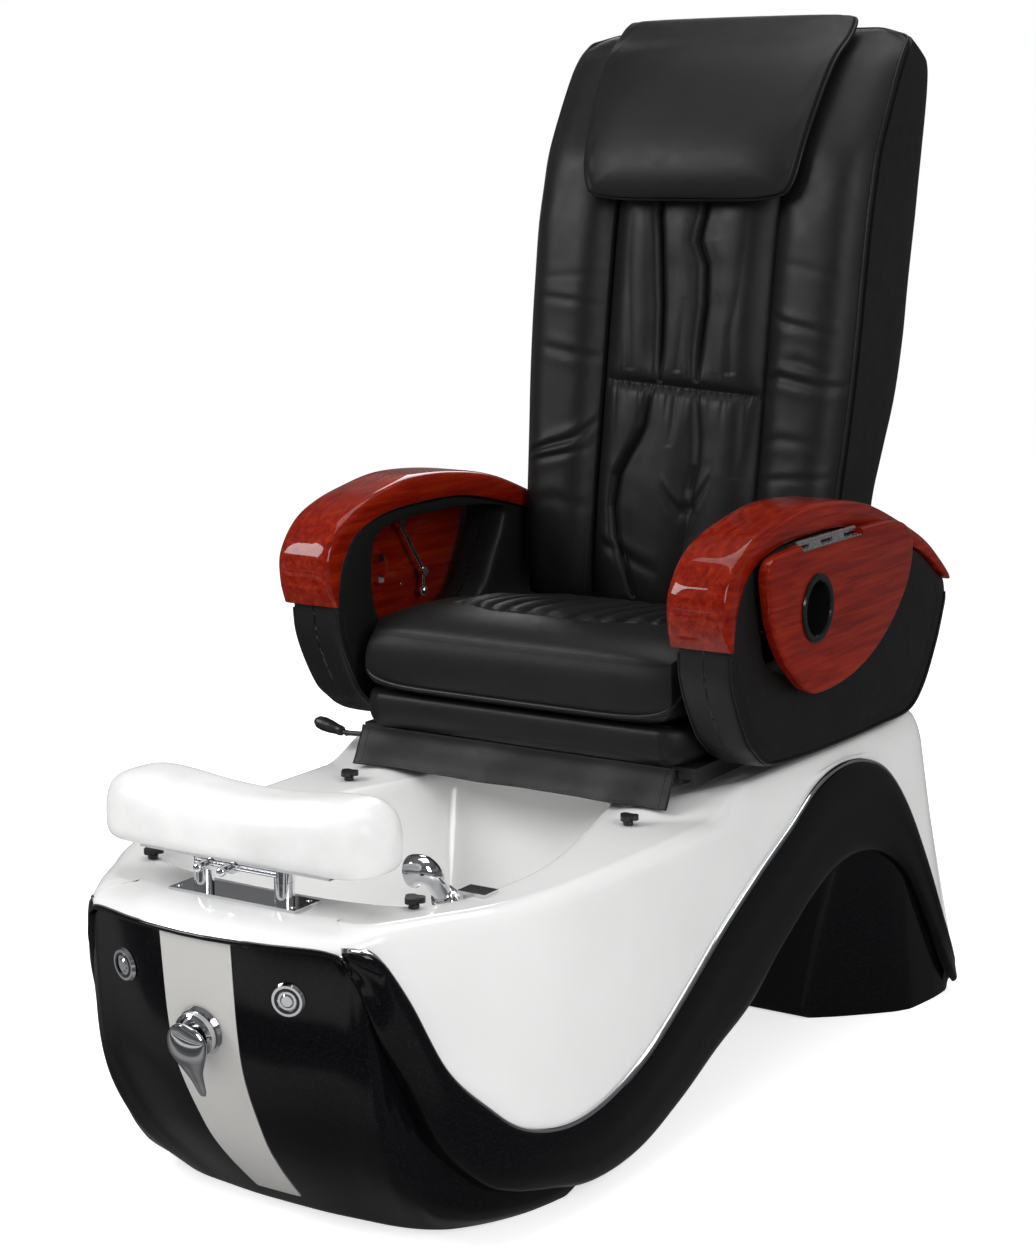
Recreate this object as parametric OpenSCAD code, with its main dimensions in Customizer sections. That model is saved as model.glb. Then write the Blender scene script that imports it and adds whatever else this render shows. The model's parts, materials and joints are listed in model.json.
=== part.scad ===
// Pedicure spa chair: whirlpool tub base, sliding reclining seat, fold-up trays, footrest.
// Units mm, +Z up. The chair faces -Y and its right side, seen from the front, is +X.

/* [Overall] */
// Length, mixer lever to the back of the backrest
chair_l = 1594; // [1420:1:1780]
// Width over the rear foot of the tub
chair_w = 820; // [760:1:900]
// Height to the top of the head pillow
chair_h = 1580; // [1450:1:1720]

/* [Tub] */
// Depth of the foot basin below the front deck
basin_depth = 265; // [200:1:300]
// How far the black wave bands stand out from the white wall
band_proud = 10; // [6:0.5:14]
// Height of the chrome trim strip on each band
trim_h = 6; // [3:0.5:10]
// Distance between the two push buttons
button_gap = 270; // [220:1:300]
// Outer diameter of a push button bezel
button_d = 45; // [36:1:54]
// Diameter of the mixer escutcheon
mixer_d = 66; // [54:1:76]

/* [Footrest] */
// Length of the footrest pad
pad_l = 436; // [360:1:480]
// Depth of the footrest pad, front to back
pad_w = 132; // [100:1:150]
// Distance between the two footrest posts
post_gap = 128; // [100:1:160]
// Diameter of the sliding footrest posts
post_d = 19; // [14:0.5:24]
// Running clearance of sliding and turning fits, per side
fit = 0.05; // [0.02:0.01:0.1]

/* [Seat] */
// Width of the seat cushion
seat_w = 552; // [500:1:556]
// Height of the seat cushion top over the tub platform
seat_rise = 212; // [190:1:240]
// Thickness of the seat pan sheet
pan_t = 5; // [3:0.5:8]

/* [Arms] */
// Thickness of an upholstered arm
arm_t = 88; // [70:1:92]
// Thickness of a wooden arm cap at its top
cap_t = 45; // [30:1:52]
// Thickness of a wooden tray
tray_t = 17; // [12:0.5:20]
// Bore of the cup holder
cup_d = 78; // [60:1:84]

/* [Back] */
// Width of the backrest at the shoulders
back_w = 584; // [540:1:600]
// Width of the gathered centre panel
centre_w = 292; // [240:1:340]
// Width of the head pillow at its top
pillow_w = 416; // [340:1:450]

/* [Hidden] */
// Colours
white = [0.95, 0.95, 0.94];
black = [0.04, 0.04, 0.05];
leather = [0.06, 0.06, 0.06];
chrome = [0.8, 0.81, 0.83];
silver = [0.75, 0.75, 0.76];
wood = [0.45, 0.08, 0.04];
steel = [0.55, 0.56, 0.58];
hole_fn = 48;

// ---------- drawing helpers ----------
// Catmull-Rom between p1 and p2 at s = 0..1; works on rows of any length
function cr(p0, p1, p2, p3, s) =
  0.5 * (2 * p1 + (p2 - p0) * s + (2 * p0 - 5 * p1 + 4 * p2 - p3) * s * s
  + (3 * p1 - p0 - 3 * p2 + p3) * s * s * s);
// Row of table c at position u, counted in rows
function spl(c, u) =
  let (n = len(c) - 1, i = max(0, min(floor(u), n - 1)))
  cr(c[max(i - 1, 0)], c[i], c[i + 1], c[min(i + 2, n)], u - i);
function lerp(a, b, t) = a + (b - a) * t;
function smooth(t) = let (c = max(0, min(1, t))) c * c * (3 - 2 * c);
function flip(p) = [-p[0], p[1], p[2]];
function unit2(v) = v / max(norm(v), 0.001);
function reversed(a) = [for (i = [len(a) - 1:-1:0]) a[i]];
// Right half list (front to rear) closed by its mirror image
function both(half) = concat(half, [for (p = reversed(half)) flip(p)]);

// Side faces between equal rings; the diagonals mirror on the second half of each ring
function side_faces(nr, n, mirror) = [
  for (k = [0:nr - 2])
    for (j = [0:n - 1])
      let (a = k * n + j, b = k * n + (j + 1) % n, d = a + n, c = b + n)
        for (f = (mirror && j >= n / 2) ? [[a, b, d], [b, c, d]] : [[a, b, c], [a, c, d]]) f
];
// Cap made of strips between mirrored ring points
function strip_cap(first, n, up) = [
  for (i = [0:n / 2 - 2])
    let (a = first + i, b = a + 1, c = first + n - 2 - i, d = c + 1)
      for (f = up ? [[a, d, c], [a, c, b]] : [[a, c, d], [a, b, c]]) f
];
function flat_cap(first, n, up) = [for (j = [1:n - 2])
  up ? [first, first + j + 1, first + j] : [first, first + j, first + j + 1]];
// Body through rings ordered from top to bottom (counter-clockwise seen from the first ring)
module skin(rings, caps = "strip", mirror = true) {
  n = len(rings[0]);
  last = (len(rings) - 1) * n;
  ends = caps == "strip"
    ? concat(strip_cap(0, n, true), strip_cap(last, n, false))
    : concat(flat_cap(0, n, true), flat_cap(last, n, false));
  polyhedron(points = [for (r = rings) for (p = r) p],
    faces = concat(side_faces(len(rings), n, mirror), ends), convexity = 8);
}
module place() {
  translate([0, frame_dy, 0])
    children();
}
function P(x, y, z) = [x * kx, y * ky, z * kz];
function S(p) = [p[0] * kx, p[1] * ky, p[2] * kz];

// ---------- tub outline ----------
// Right half of the tub from toe to tail: x, y at the rim and x, y at the floor
tub_rows = [
  [20, -776, 20, -776], [100, -767, 102, -768], [180, -742, 186, -747], [205, -722, 222, -731],
  [220, -698, 244, -710], [238, -665, 264, -677], [260, -622, 286, -632], [288, -572, 308, -579],
  [308, -522, 324, -527], [325, -445, 338, -447], [333, -355, 345, -355], [337, -252, 348, -252],
  [339, -150, 350, -150], [340, -50, 353, -50], [342, 50, 356, 50], [346, 150, 360, 150],
  [350, 240, 364, 240], [353, 320, 367, 320], [355, 400, 371, 402], [356, 480, 377, 484],
  [356, 550, 387, 556], [354, 605, 397, 615], [348, 636, 404, 655], [336, 648, 402, 694],
  [312, 652, 378, 716], [160, 653, 172, 722], [20, 654, 20, 723]];
// Same stations: height of the chrome line, of the band's lower edge and of the hidden joint
// between white shell and black hull, then how far the band's lower edge tucks in
wave_rows = [
  [420, 420, 420, 0], [420, 420, 420, 0], [420, 414, 417, 0], [418, 372, 396, 0],
  [406, 302, 354, 10], [348, 229, 290, 26], [252, 133, 195, 40], [192, 78, 138, 42],
  [152, 55, 104, 40], [133, 37, 84, 36], [141, 20, 78, 30], [174, 29, 98, 22],
  [227, 66, 142, 15], [285, 112, 196, 11], [338, 150, 246, 10], [386, 213, 300, 8],
  [433, 263, 348, 7], [450, 292, 372, 6], [443, 297, 372, 5], [411, 276, 344, 3],
  [340, 224, 284, 1], [238, 128, 186, 0], [140, 50, 96, 0], [62, 12, 34, 0],
  [36, 4, 26, 0], [34, 4, 26, 0], [34, 4, 26, 0]];
// Same stations: edge of the basin opening
basin_rows = [
  [20, -616], [92, -613], [150, -604], [185, -592], [206, -575], [221, -552], [231, -522],
  [238, -480], [241, -430], [240, -375], [232, -320], [219, -262], [203, -200], [187, -140],
  [170, -85], [158, -40], [148, -8], [138, 14], [126, 28], [112, 37], [95, 43], [75, 47],
  [58, 49], [44, 50], [30, 50.5], [18, 51], [8, 51]];
// Same stations: outline of the black hull where it meets the floor, or its hidden underside
foot_rows = [
  [12, -585], [60, -584], [118, -578], [150, -574], [178, -567], [202, -556], [222, -541],
  [243, -514], [262, -480], [279, -436], [292, -372], [298, -300], [304, -180], [308, -60],
  [312, 50], [318, 150], [324, 240], [328, 320], [330, 400]];
rows = len(tub_rows);
// Front deck and rear platform heights, blended between two places along the tub
deck_z = 440;
platform_z = 475;
function deck_at(y) = lerp(deck_z, platform_z, smooth((y + 50) / 110));
// Point of the white wall at station u and height z, pushed out by o
function wall_dir(u) =
  let (a = spl(tub_rows, max(u - 0.25, 0)), b = spl(tub_rows, min(u + 0.25, rows - 1)),
    t = unit2([b[0] - a[0], b[1] - a[1]]))
  [t[1], -t[0]];
function wall(u, z, o) =
  let (r = spl(tub_rows, u), h = deck_at(r[1]), n = wall_dir(u),
    q = lerp([r[0], r[1]], [r[2], r[3]], (h - z) / h))
  [q[0] + n[0] * o, q[1] + n[1] * o, z];
// Stations of the rings: every row and one between
tub_us = [for (i = [0:2 * (rows - 1)]) i / 2];
function lip_in(u) = lerp(60, 13, smooth((u - 1.2) / 3.6));
function lip_low(u) = min(420, deck_at(spl(tub_rows, u)[1]) - 16);
function toward(u, p, d) = let (n = wall_dir(u)) [p[0] - n[0] * d, p[1] - n[1] * d, p[2]];
// Ring of the shell: k counts from the basin floor, over the deck, down the outside
basin_mid = [0, -330];
function basin_pt(u, z, grow, shrink) =
  let (b = spl(basin_rows, u), v = [b[0], b[1]] - basin_mid, w = unit2(v))
  [basin_mid[0] + v[0] * shrink + w[0] * grow, basin_mid[1] + v[1] * shrink + w[1] * grow, z];
function shell_pt(u, k) =
  let (b = spl(basin_rows, u), bz = deck_at(b[1]), t = spl(tub_rows, u), dz = deck_at(t[1]),
    fz = deck_z - basin_depth, w = spl(wave_rows, u))
  k == 0 ? basin_pt(u, fz, 0, 0.56)
  : k == 1 ? basin_pt(u, fz + 12, 0, 0.68)
  : k == 2 ? basin_pt(u, fz + 60, 0, 0.79)
  : k == 3 ? basin_pt(u, lerp(fz, bz, 0.6), 0, 0.91)
  : k == 4 ? basin_pt(u, bz - 20, 0, 0.985)
  : k == 5 ? basin_pt(u, bz - 6, 3, 1)
  : k == 6 ? basin_pt(u, bz, 12, 1)
  : k == 7 ? toward(u, [t[0], t[1], dz], lip_in(u) + 8)
  : k == 8 ? toward(u, [t[0], t[1], dz - 4], lip_in(u) - 3)
  : k == 9 ? toward(u, wall(u, lerp(dz, lip_low(u), 0.55), 0), lip_in(u) * 0.3)
  : k == 10 ? wall(u, max(lip_low(u), w[0]), 0)
  : k == 11 ? wall(u, w[0] - 0.5, 0)
  : wall(u, w[2] - 1, 0);
module tub_shell() {
  color(white)
    place()
      difference() {
        skin([for (k = [0:12]) both([for (u = tub_us) S(shell_pt(u, k))])]);
        for (s = [-1, 1])
          translate([s * post_gap / 2, post_y * ky, deck_z * kz - sleeve_drop - 1])
            cylinder(d = sleeve_d + 0.4, h = sleeve_drop + 20, $fn = hole_fn);
        for (s = [-1, 1])
          for (p = knob_spots)
            translate([s * p[0] * kx, p[1] * ky, deck_at(p[1]) * kz - 24])
              cylinder(d = knob_stem + 2 * fit, h = 60, $fn = hole_fn);
        translate([0, basin_mid[1] * ky, (deck_z - basin_depth) * kz - 62])
          cylinder(d = 40, h = 80, $fn = hole_fn);
      }
}

// ---------- black hull, stripe, bands, trim, pedestal ----------
// Share of the way from the wall to the foot outline: rounded belly under the toe
belly = [[0, 0], [0.155, 0.03], [0.276, 0.055], [0.417, 0.11], [0.529, 0.216], [0.714, 0.433],
  [0.833, 0.65], [1, 1]];
under_rows = [0, 0, 0, 0, 0, 0, 0, 0, 0, 0, 0, 36, 76, 122, 160, 223, 273, 290, 300];
hull_end = 16;
function under(u) =
  let (n = len(under_rows) - 1, i = min(floor(u), n - 1))
  lerp(under_rows[i], under_rows[i + 1], u - i);
function join_z(u) = spl(wave_rows, u)[2];
function edge_z(u) =
  let (w = spl(wave_rows, u), b = under(u)) max(w[1], b + 0.35 * (w[2] - b));
// Height from which the hull stands clear behind the return of the band
function band_e(w) = min(14, (w[0] - trim_h / 2 - w[1]) * 0.4);
function ledge_z(u) =
  let (w = spl(wave_rows, u))
  u < 2.2 ? edge_z(u) : min(max(edge_z(u), w[1] + band_e(w) + 2), w[2] - 5);
// Behind the band the hull steps in from the wall, clear of the return of the band
function hull_step(u) =
  let (w = spl(wave_rows, u), q = wall(u, w[2], 0), g = wall(u, w[2], 1), f = spl(foot_rows, u))
  max(4, min((w[3] + 17) / max(0.5, g[0] - q[0]), 1.05 * (q[0] - f[0])));
function hull_at(u, z) =
  let (w = spl(wave_rows, u), m = w[2], l = edge_z(u), b = under(u), f = spl(foot_rows, u),
    q = wall(u, z, 0), t = ledge_z(u), s = z >= l ? 0 : lookup((l - z) / max(1, l - b), belly),
    p = u < 2.2 ? lerp([q[0], q[1]], f, 0.015)
      : [q[0] - hull_step(u) * min(1, (m - z) / max(1, m - t)), q[1]])
  [lerp(p[0], f[0], s), lerp(p[1], f[1], s), z];
hull_steps = [0.155, 0.3, 0.43, 0.55, 0.67, 0.78, 0.88, 0.95, 1];
function hull_pt(u, k) =
  let (m = join_z(u) - 1, q = wall(u, m, 0), l = edge_z(u), b = under(u))
  k == 0 ? [q[0] - (u < 2.2 ? 1.5 : 0.85 * hull_step(u)), q[1], m]
  : k == 1 ? hull_at(u, u < 2.2 ? lerp(m, l, 0.6) - 2 : ledge_z(u))
  : hull_at(u, lerp(l - 3, b, hull_steps[k - 2]));
hull_us = [for (i = [0:2 * hull_end]) i / 2];
hull_levels = len(hull_steps) + 1;
function hull_out(u, z) =
  let (a = hull_at(u + 0.15, z) - hull_at(max(u - 0.15, 0), z), b = hull_at(u, z - 4) - hull_at(u, z + 4))
  unit2(cross(b, a));
// Stands the children on the hull at station u and height z, their +Z pointing out of it
module on_hull(u, z, side = 1) {
  p = S(hull_at(u, z));
  n = hull_out(u, z);
  az = atan2(n[1], n[0] * side);
  tilt = acos(n[2]);
  translate([p[0] * side, p[1], p[2]])
    rotate([0, tilt, az])
      rotate([0, 0, 90])
        children();
}
// Places of the push buttons and of the mixer on the toe
function button_u() = button_gap / 2 / kx / 100;
button_z = 351;
mixer_z = 292;
bezel_bore = 30;
hub_bore = 34;
module front_hull() {
  color(black)
    place()
      difference() {
        skin([for (k = [0:hull_levels]) both([for (u = hull_us) S(hull_pt(u, k))])]);
        for (s = [-1, 1])
          on_hull(button_u(), button_z, s)
            translate([0, 0, -44])
              cylinder(d = bezel_bore, h = 60, $fn = hole_fn);
        on_toe(mixer_z)
          translate([0, 0, -60])
            cylinder(d = hub_bore, h = 80, $fn = hole_fn);
      }
}
// Stands the children on the middle of the toe at height z, +Z pointing out of it
module on_toe(z) {
  p = S(hull_at(0, z));
  n = hull_out(0, z);
  translate([0, p[1], p[2]])
    rotate([acos(n[2]), 0, 0])
      children();
}
stripe_t = 1.6;
stripe_gap = 0.2;
function stripe_pt(u, k, o, side) =
  let (z = hull_pt(u, k)[2], p = hull_at(u, z), n = hull_out(u, max(z, 2)), q = p + n * o)
  [q[0] * side, q[1], q[2]];
module front_stripe() {
  outer = stripe_gap + stripe_t;
  color(silver)
    place()
      difference() {
        skin([for (k = [1:hull_levels - 1]) [
          for (e = [[0.5, outer, -1], [0, outer, -1], [0, outer, 1], [0.5, outer, 1],
            [0.5, stripe_gap, 1], [0, stripe_gap, 1], [0, stripe_gap, -1], [0.5, stripe_gap, -1]])
            S(stripe_pt(e[0], k, e[1], e[2]))]]);
        on_toe(mixer_z)
          translate([0, 0, -60])
            cylinder(d = hub_bore, h = 80, $fn = hole_fn);
      }
}
band_us = [for (i = [0:41]) 2.4 + i * 0.5];
band_gap = 0.7;
lip_t = 7;
function band_ring(u) =
  let (w = spl(wave_rows, u), t = w[0] - trim_h / 2, b = w[1], m = min(w[2] - 1, t - 2), k = w[3],
    h = t - b, e = band_e(w), pr = band_proud * min(1, h / 24))
  [wall(u, t, band_gap), wall(u, max(m, b + e + 1), band_gap), wall(u, b + e, -k - 2), wall(u, b, -k - 2),
    wall(u, b, -k + lip_t - 2), wall(u, b + 0.2 * h, lerp(-k + pr, pr, 0.55)),
    wall(u, b + 0.72 * h, pr + 1.5), wall(u, t, pr - 1.5)];
module band(side) {
  rings = [for (u = band_us) [for (p = band_ring(u)) S(p)]];
  mirror([side < 0 ? 1 : 0, 0, 0])
    skin([for (r = rings) r], mirror = false);
}
module side_band_left() {
  color(black)
    place()
      band(-1);
}
module side_band_right() {
  color(black)
    place()
      band(1);
}
function trim_ring(u) =
  let (w = spl(wave_rows, u), t = w[0] - trim_h / 2 + 0.4, top = w[0] + trim_h / 2,
    h = w[0] - w[1], pr = band_proud * min(1, h / 24))
  [wall(u, top, band_gap), wall(u, t, band_gap), wall(u, t, pr - 1), wall(u, top, pr - 3)];
module trim(side) {
  mirror([side < 0 ? 1 : 0, 0, 0])
    skin([for (u = band_us) [for (p = trim_ring(u)) S(p)]], mirror = false);
}
module trim_left() {
  color(chrome)
    place()
      trim(-1);
}
module trim_right() {
  color(chrome)
    place()
      trim(1);
}
// Rear pedestal, stations 16 to 26: its lower outline, on the floor behind the arch
ped_floor = [
  [324, 240, 273], [328, 285, 268], [318, 336, 246], [285, 380, 120], [248, 423, 0], [298, 466, 0],
  [341, 510, 0], [366, 538, 0], [380, 562, 0], [385, 590, 0], [388, 612, 0], [391, 636, 0],
  [392, 660, 0], [392, 680, 0], [388, 696, 0], [380, 706, 0], [366, 714, 0], [280, 718, 0],
  [160, 720.5, 0], [80, 721, 0], [20, 721.5, 0]];
ped_us = [for (i = [0:20]) 16 + i / 2];
ped_levels = 5;
function ped_pt(i, k) =
  let (u = ped_us[i], m = join_z(u) - 1, q = wall(u, m, 0), f = ped_floor[i], t = k / ped_levels,
    inset = i < 14 ? 6 : 1.5, s = pow(t, 0.8))
  [lerp(q[0] - inset, f[0], s), lerp(q[1], f[1], s), lerp(m, f[2], t)];
module rear_pedestal() {
  color(black)
    place()
      skin([for (k = [0:ped_levels]) both([for (i = [0:20]) S(ped_pt(i, k))])]);
}

// ---------- toe hardware ----------
bezel_h = 4;
button_travel = 3;
bezel_lift = 0.9;
button_cap_d = 24;
module bezel() {
  barrel = bezel_bore - 0.2;
  bore = button_cap_d + 2 * fit;
  difference() {
    union() {
      translate([0, 0, bezel_lift])
        cylinder(d1 = button_d, d2 = button_d - 5, h = bezel_h);
      translate([0, 0, -32])
        cylinder(d = barrel, h = 32 + bezel_lift + 1);
    }
    translate([0, 0, -6])
      cylinder(d = bore, h = 60);
    translate([0, 0, -50])
      cylinder(d = 12 + 2 * fit, h = 100);
    translate([0, 0, bezel_lift + bezel_h - 1.4])
      cylinder(d1 = bore, d2 = bore + 9, h = 1.5);
  }
}
module button_bezels() {
  color(chrome)
    place()
      for (s = [-1, 1])
        on_hull(button_u(), button_z, s)
          bezel();
}
module button(s) {
  on_hull(button_u(), button_z, s) {
    translate([0, 0, -6 + button_travel])
      cylinder(d = button_cap_d, h = 7);
    translate([0, 0, 1 + button_travel])
      cylinder(d1 = button_cap_d - 6, d2 = button_cap_d - 10, h = 1.6);
    translate([0, 0, -36])
      cylinder(d = 12, h = 36);
  }
}
module button_left() {
  color(chrome)
    place()
      button(-1);
}
module button_right() {
  color(chrome)
    place()
      button(1);
}
// Mixer: escutcheon, turning hub and the lever that lifts on it
mixer_base = stripe_gap + stripe_t + 0.2;
hub_d = 56;
hub_h = 14;
pin_d = 6;
pin_lift = 21;
post_w = 14;
module mixer_escutcheon() {
  color(chrome)
    place()
      on_toe(mixer_z)
        difference() {
          union() {
            translate([0, 0, mixer_base])
              cylinder(d1 = mixer_d, d2 = mixer_d - 5, h = 5);
            translate([0, 0, -50])
              cylinder(d = hub_bore - 0.2, h = 50 + mixer_base + 1);
          }
          translate([0, 0, -20])
            cylinder(d = 22 + 2 * fit, h = 60);
        }
}
module mixer_hub() {
  z0 = mixer_base + 5.3;
  color(chrome)
    place()
      on_toe(mixer_z) {
        rotate_extrude($fn = 72)
          polygon([[0, z0], [hub_d / 2, z0], [hub_d / 2 + 1, z0 + 2], [hub_d / 2 + 1, z0 + 9],
            [hub_d / 2 - 1, z0 + 11], [hub_d / 2 - 3, z0 + hub_h], [0, z0 + hub_h]]);
        difference() {
          translate([-post_w / 2, -8, z0 + hub_h - 1])
            cube([post_w, 16, pin_lift - hub_h + 6]);
          translate([-hub_d, 0, z0 + pin_lift])
            rotate([0, 90, 0])
              cylinder(d = pin_d + 2 * fit, h = 2 * hub_d, $fn = hole_fn);
        }
        translate([0, 0, -18])
          cylinder(d = 22, h = 18 + z0 + 1);
      }
}
// Half widths and the height of the lever blade along its drop, from the crown to the tip
lever_rows = [
  [24, 6, 26, 5], [18, 18, 24, 12], [8, 27, 22, 19], [-4, 30, 22, 21], [-18, 28, 23, 18],
  [-32, 22, 21, 13], [-46, 15, 18, 9], [-62, 10, 13, 7], [-78, 7, 9, 5], [-85, 4, 8, 3]];
// How far the crown of the lever stands off the toe
lever_reach = 45;
module mixer_lever() {
  z0 = mixer_base + 5.3;
  color(chrome)
    place()
      on_toe(mixer_z) {
        difference() {
          skin([for (r = lever_rows) [for (a = [0:30:330])
            [-r[1] * sin(a), r[0], z0 + r[2] - r[3] * cos(a) * (cos(a) > 0 ? 0.2 : 0.75)]]],
            caps = "flat", mirror = false);
          translate([-post_w / 2 - 0.4, -11, z0])
            cube([post_w + 0.8, 22, pin_lift + 9.6]);
        }
        translate([-17, 0, z0 + pin_lift])
          rotate([0, 90, 0])
            cylinder(d = pin_d, h = 34);
      }
}

// ---------- deck hardware ----------
knob_d = 30;
knob_stem = 8;
knob_spots = [[208, -600], [238, -117]];
module knob(s, i) {
  p = knob_spots[i];
  z = deck_at(p[1]) * kz;
  translate([s * p[0] * kx, p[1] * ky, z]) {
    translate([0, 0, -18])
      cylinder(d = knob_stem, h = 30);
    translate([0, 0, 0.6])
      cylinder(d = 14, h = 5);
    translate([0, 0, 8])
      for (a = [30:120:270])
        rotate([0, 0, a])
          translate([knob_d / 2 - 8, 0, 0])
            cylinder(d = 15, h = 7);
    translate([0, 0, 5])
      cylinder(d1 = 10, d2 = 22, h = 9.5);
  }
}
module thumbscrew_front_left() {
  color(black)
    place()
      knob(-1, 0);
}
module thumbscrew_front_right() {
  color(black)
    place()
      knob(1, 0);
}
module thumbscrew_rear_left() {
  color(black)
    place()
      knob(-1, 1);
}
module thumbscrew_rear_right() {
  color(black)
    place()
      knob(1, 1);
}

// ---------- footrest ----------
post_y = -672;
sleeve_d = post_d + 7;
sleeve_drop = 108;
sleeve_rise = 26;
plate_t = 4;
plate_w = 200;
plate_d = 54;
lift_travel = 70;
pin_xs = [-45, -8];
pull_pin_d = 8;
pull_pin_l = 60;
module footrest_plate() {
  y = post_y * ky;
  z = deck_z * kz;
  color(chrome)
    place()
      difference() {
        union() {
          translate([-plate_w / 2, y - plate_d / 2, z])
            cube([plate_w, plate_d, plate_t]);
          for (s = [-1, 1])
            translate([s * post_gap / 2, y, z - sleeve_drop])
              cylinder(d = sleeve_d, h = sleeve_drop + plate_t + sleeve_rise);
        }
        for (s = [-1, 1])
          translate([s * post_gap / 2, y, z - sleeve_drop + 4])
            cylinder(d = post_d + 2 * fit, h = sleeve_drop + 60);
        for (sx = [-1, 1])
          for (sy = [-1, 1])
            translate([sx * (plate_w / 2 - 10), y + sy * (plate_d / 2 - 10), z + plate_t - 1.2])
              cylinder(d = 8, h = 3);
      }
}
carriage_z = 476;
pad_z = 488;
module footrest_carriage() {
  y = post_y * ky;
  low = deck_z * kz - sleeve_drop + 10;
  color(chrome)
    place() {
      for (s = [-1, 1])
        translate([s * post_gap / 2, y, low])
          cylinder(d = post_d, h = pad_z * kz - low);
      for (s = [-1, 1])
        translate([s * post_gap / 2, y, deck_z * kz + plate_t + sleeve_rise + 0.4])
          cylinder(d = sleeve_d, h = pad_z * kz - deck_z * kz - plate_t - sleeve_rise - 0.4);
      difference() {
        union() {
          for (e = [[-13, 5], [13, 0]])
            translate([-post_gap / 2, y + e[0], carriage_z * kz + e[1]])
              rotate([0, 90, 0])
                cylinder(d = 9, h = post_gap);
          for (x = pin_xs)
            translate([x - 7, y - 20, carriage_z * kz - 3])
              cube([14, 38, 13]);
        }
        for (x = pin_xs)
          translate([x, y - 40, carriage_z * kz + 3])
            rotate([-90, 0, 0])
              cylinder(d = pull_pin_d + 2 * fit, h = 80, $fn = hole_fn);
      }
      translate([-150, y - 22, pad_z * kz])
        cube([300, 44, 3]);
    }
}
module lock_pin(x) {
  y = post_y * ky;
  translate([x, y - 34, carriage_z * kz + 3]) {
    rotate([-90, 0, 0])
      cylinder(d = pull_pin_d, h = pull_pin_l);
    sphere(d = 13);
    translate([0, pull_pin_l, 0])
      rotate([-90, 0, 0])
        cylinder(d = 11, h = 3);
  }
}
module lock_pin_left() {
  color(chrome)
    place()
      lock_pin(pin_xs[0]);
}
module lock_pin_right() {
  color(chrome)
    place()
      lock_pin(pin_xs[1]);
}
// Footrest pad: saddle rising to both ends. Rows: share of the half length, half depth, bottom, top
pad_rows = [
  [1, 5, 24, 50], [0.985, 20, 13, 64], [0.94, 39, 5, 78], [0.86, 55, 1, 88], [0.74, 65, 0, 93],
  [0.55, 66, 0, 91], [0.35, 66, 0, 86], [0.17, 66, 0, 83], [0, 66, 0, 82]];
pad_y = -655;
pad_n = 20;
function pad_ring(r, s) = [for (i = [0:pad_n - 1])
  let (a = 360 * i / pad_n + 9, c = cos(a), d = sin(a),
    sx = sign(c) * pow(abs(c), 0.62), sz = sign(d) * pow(abs(d), d > 0 ? 0.8 : 0.45),
    mid = lerp(r[2], r[3], 0.42))
  [s * r[0] * pad_l / 2, pad_y * ky + sx * r[1] * pad_w / 132,
    pad_z * kz + 3 + (d > 0 ? mid + (r[3] - mid) * sz : mid + (mid - r[2]) * sz)]];
module footrest_pad() {
  n = len(pad_rows);
  color(white)
    place()
      skin(concat([for (i = [0:n - 1]) pad_ring(pad_rows[i], 1)],
        [for (i = [n - 2:-1:0]) pad_ring(pad_rows[i], -1)]), caps = "flat", mirror = false);
}

// ---------- hand shower on the basin rim ----------
shower_at = [193, -503, 420];
shower_lean = [33, -6, 0];
shower_d = 26;
module on_shower() {
  translate(S(shower_at))
    rotate(shower_lean)
      children();
}
module shower_holder() {
  color(chrome)
    place() {
      difference() {
        union() {
          on_shower()
            translate([0, 0, -12])
              cylinder(d = shower_d + 10, h = 22);
          translate([shower_at[0] * kx + 12, shower_at[1] * ky, 423 * kz])
            rotate([0, 90, 0])
              cylinder(d = 14, h = 15);
          translate([218 * kx, shower_at[1] * ky - 16, deck_z * kz + 0.3])
            cube([42, 32, 4]);
          translate([218 * kx, shower_at[1] * ky - 10, deck_z * kz - 24])
            cube([6, 20, 26]);
        }
        on_shower()
          translate([0, 0, -60])
            cylinder(d = shower_d + 2 * fit, h = 120, $fn = hole_fn);
      }
    }
}
module hand_shower() {
  color(chrome)
    place()
      on_shower() {
        translate([0, 0, -62])
          cylinder(d = 20, h = 50);
        translate([0, 0, -14])
          cylinder(d = shower_d, h = 26);
        translate([0, 0, 10.2])
          cylinder(d = shower_d + 7, h = 6);
        translate([0, 0, 16])
          cylinder(d1 = 24, d2 = 30, h = 40);
        translate([0, 0, 60])
          sphere(d = 36);
        translate([-4, 0, 58])
          rotate([0, -104, 0])
            cylinder(d1 = 34, d2 = 44, h = 24);
      }
}
module drain_fitting() {
  z = (deck_z - basin_depth) * kz;
  color(chrome)
    place()
      translate([0, basin_mid[1] * ky, z])
        difference() {
          union() {
            translate([0, 0, 0.1])
              cylinder(d = 62, h = 3);
            translate([0, 0, -60])
              cylinder(d = 39.6, h = 61);
          }
          translate([0, 0, -80])
            cylinder(d = 30, h = 80);
          for (a = [0:60:300])
            rotate([0, 0, a])
              translate([11, 0, -5])
                cylinder(d = 6, h = 20);
        }
}

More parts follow.
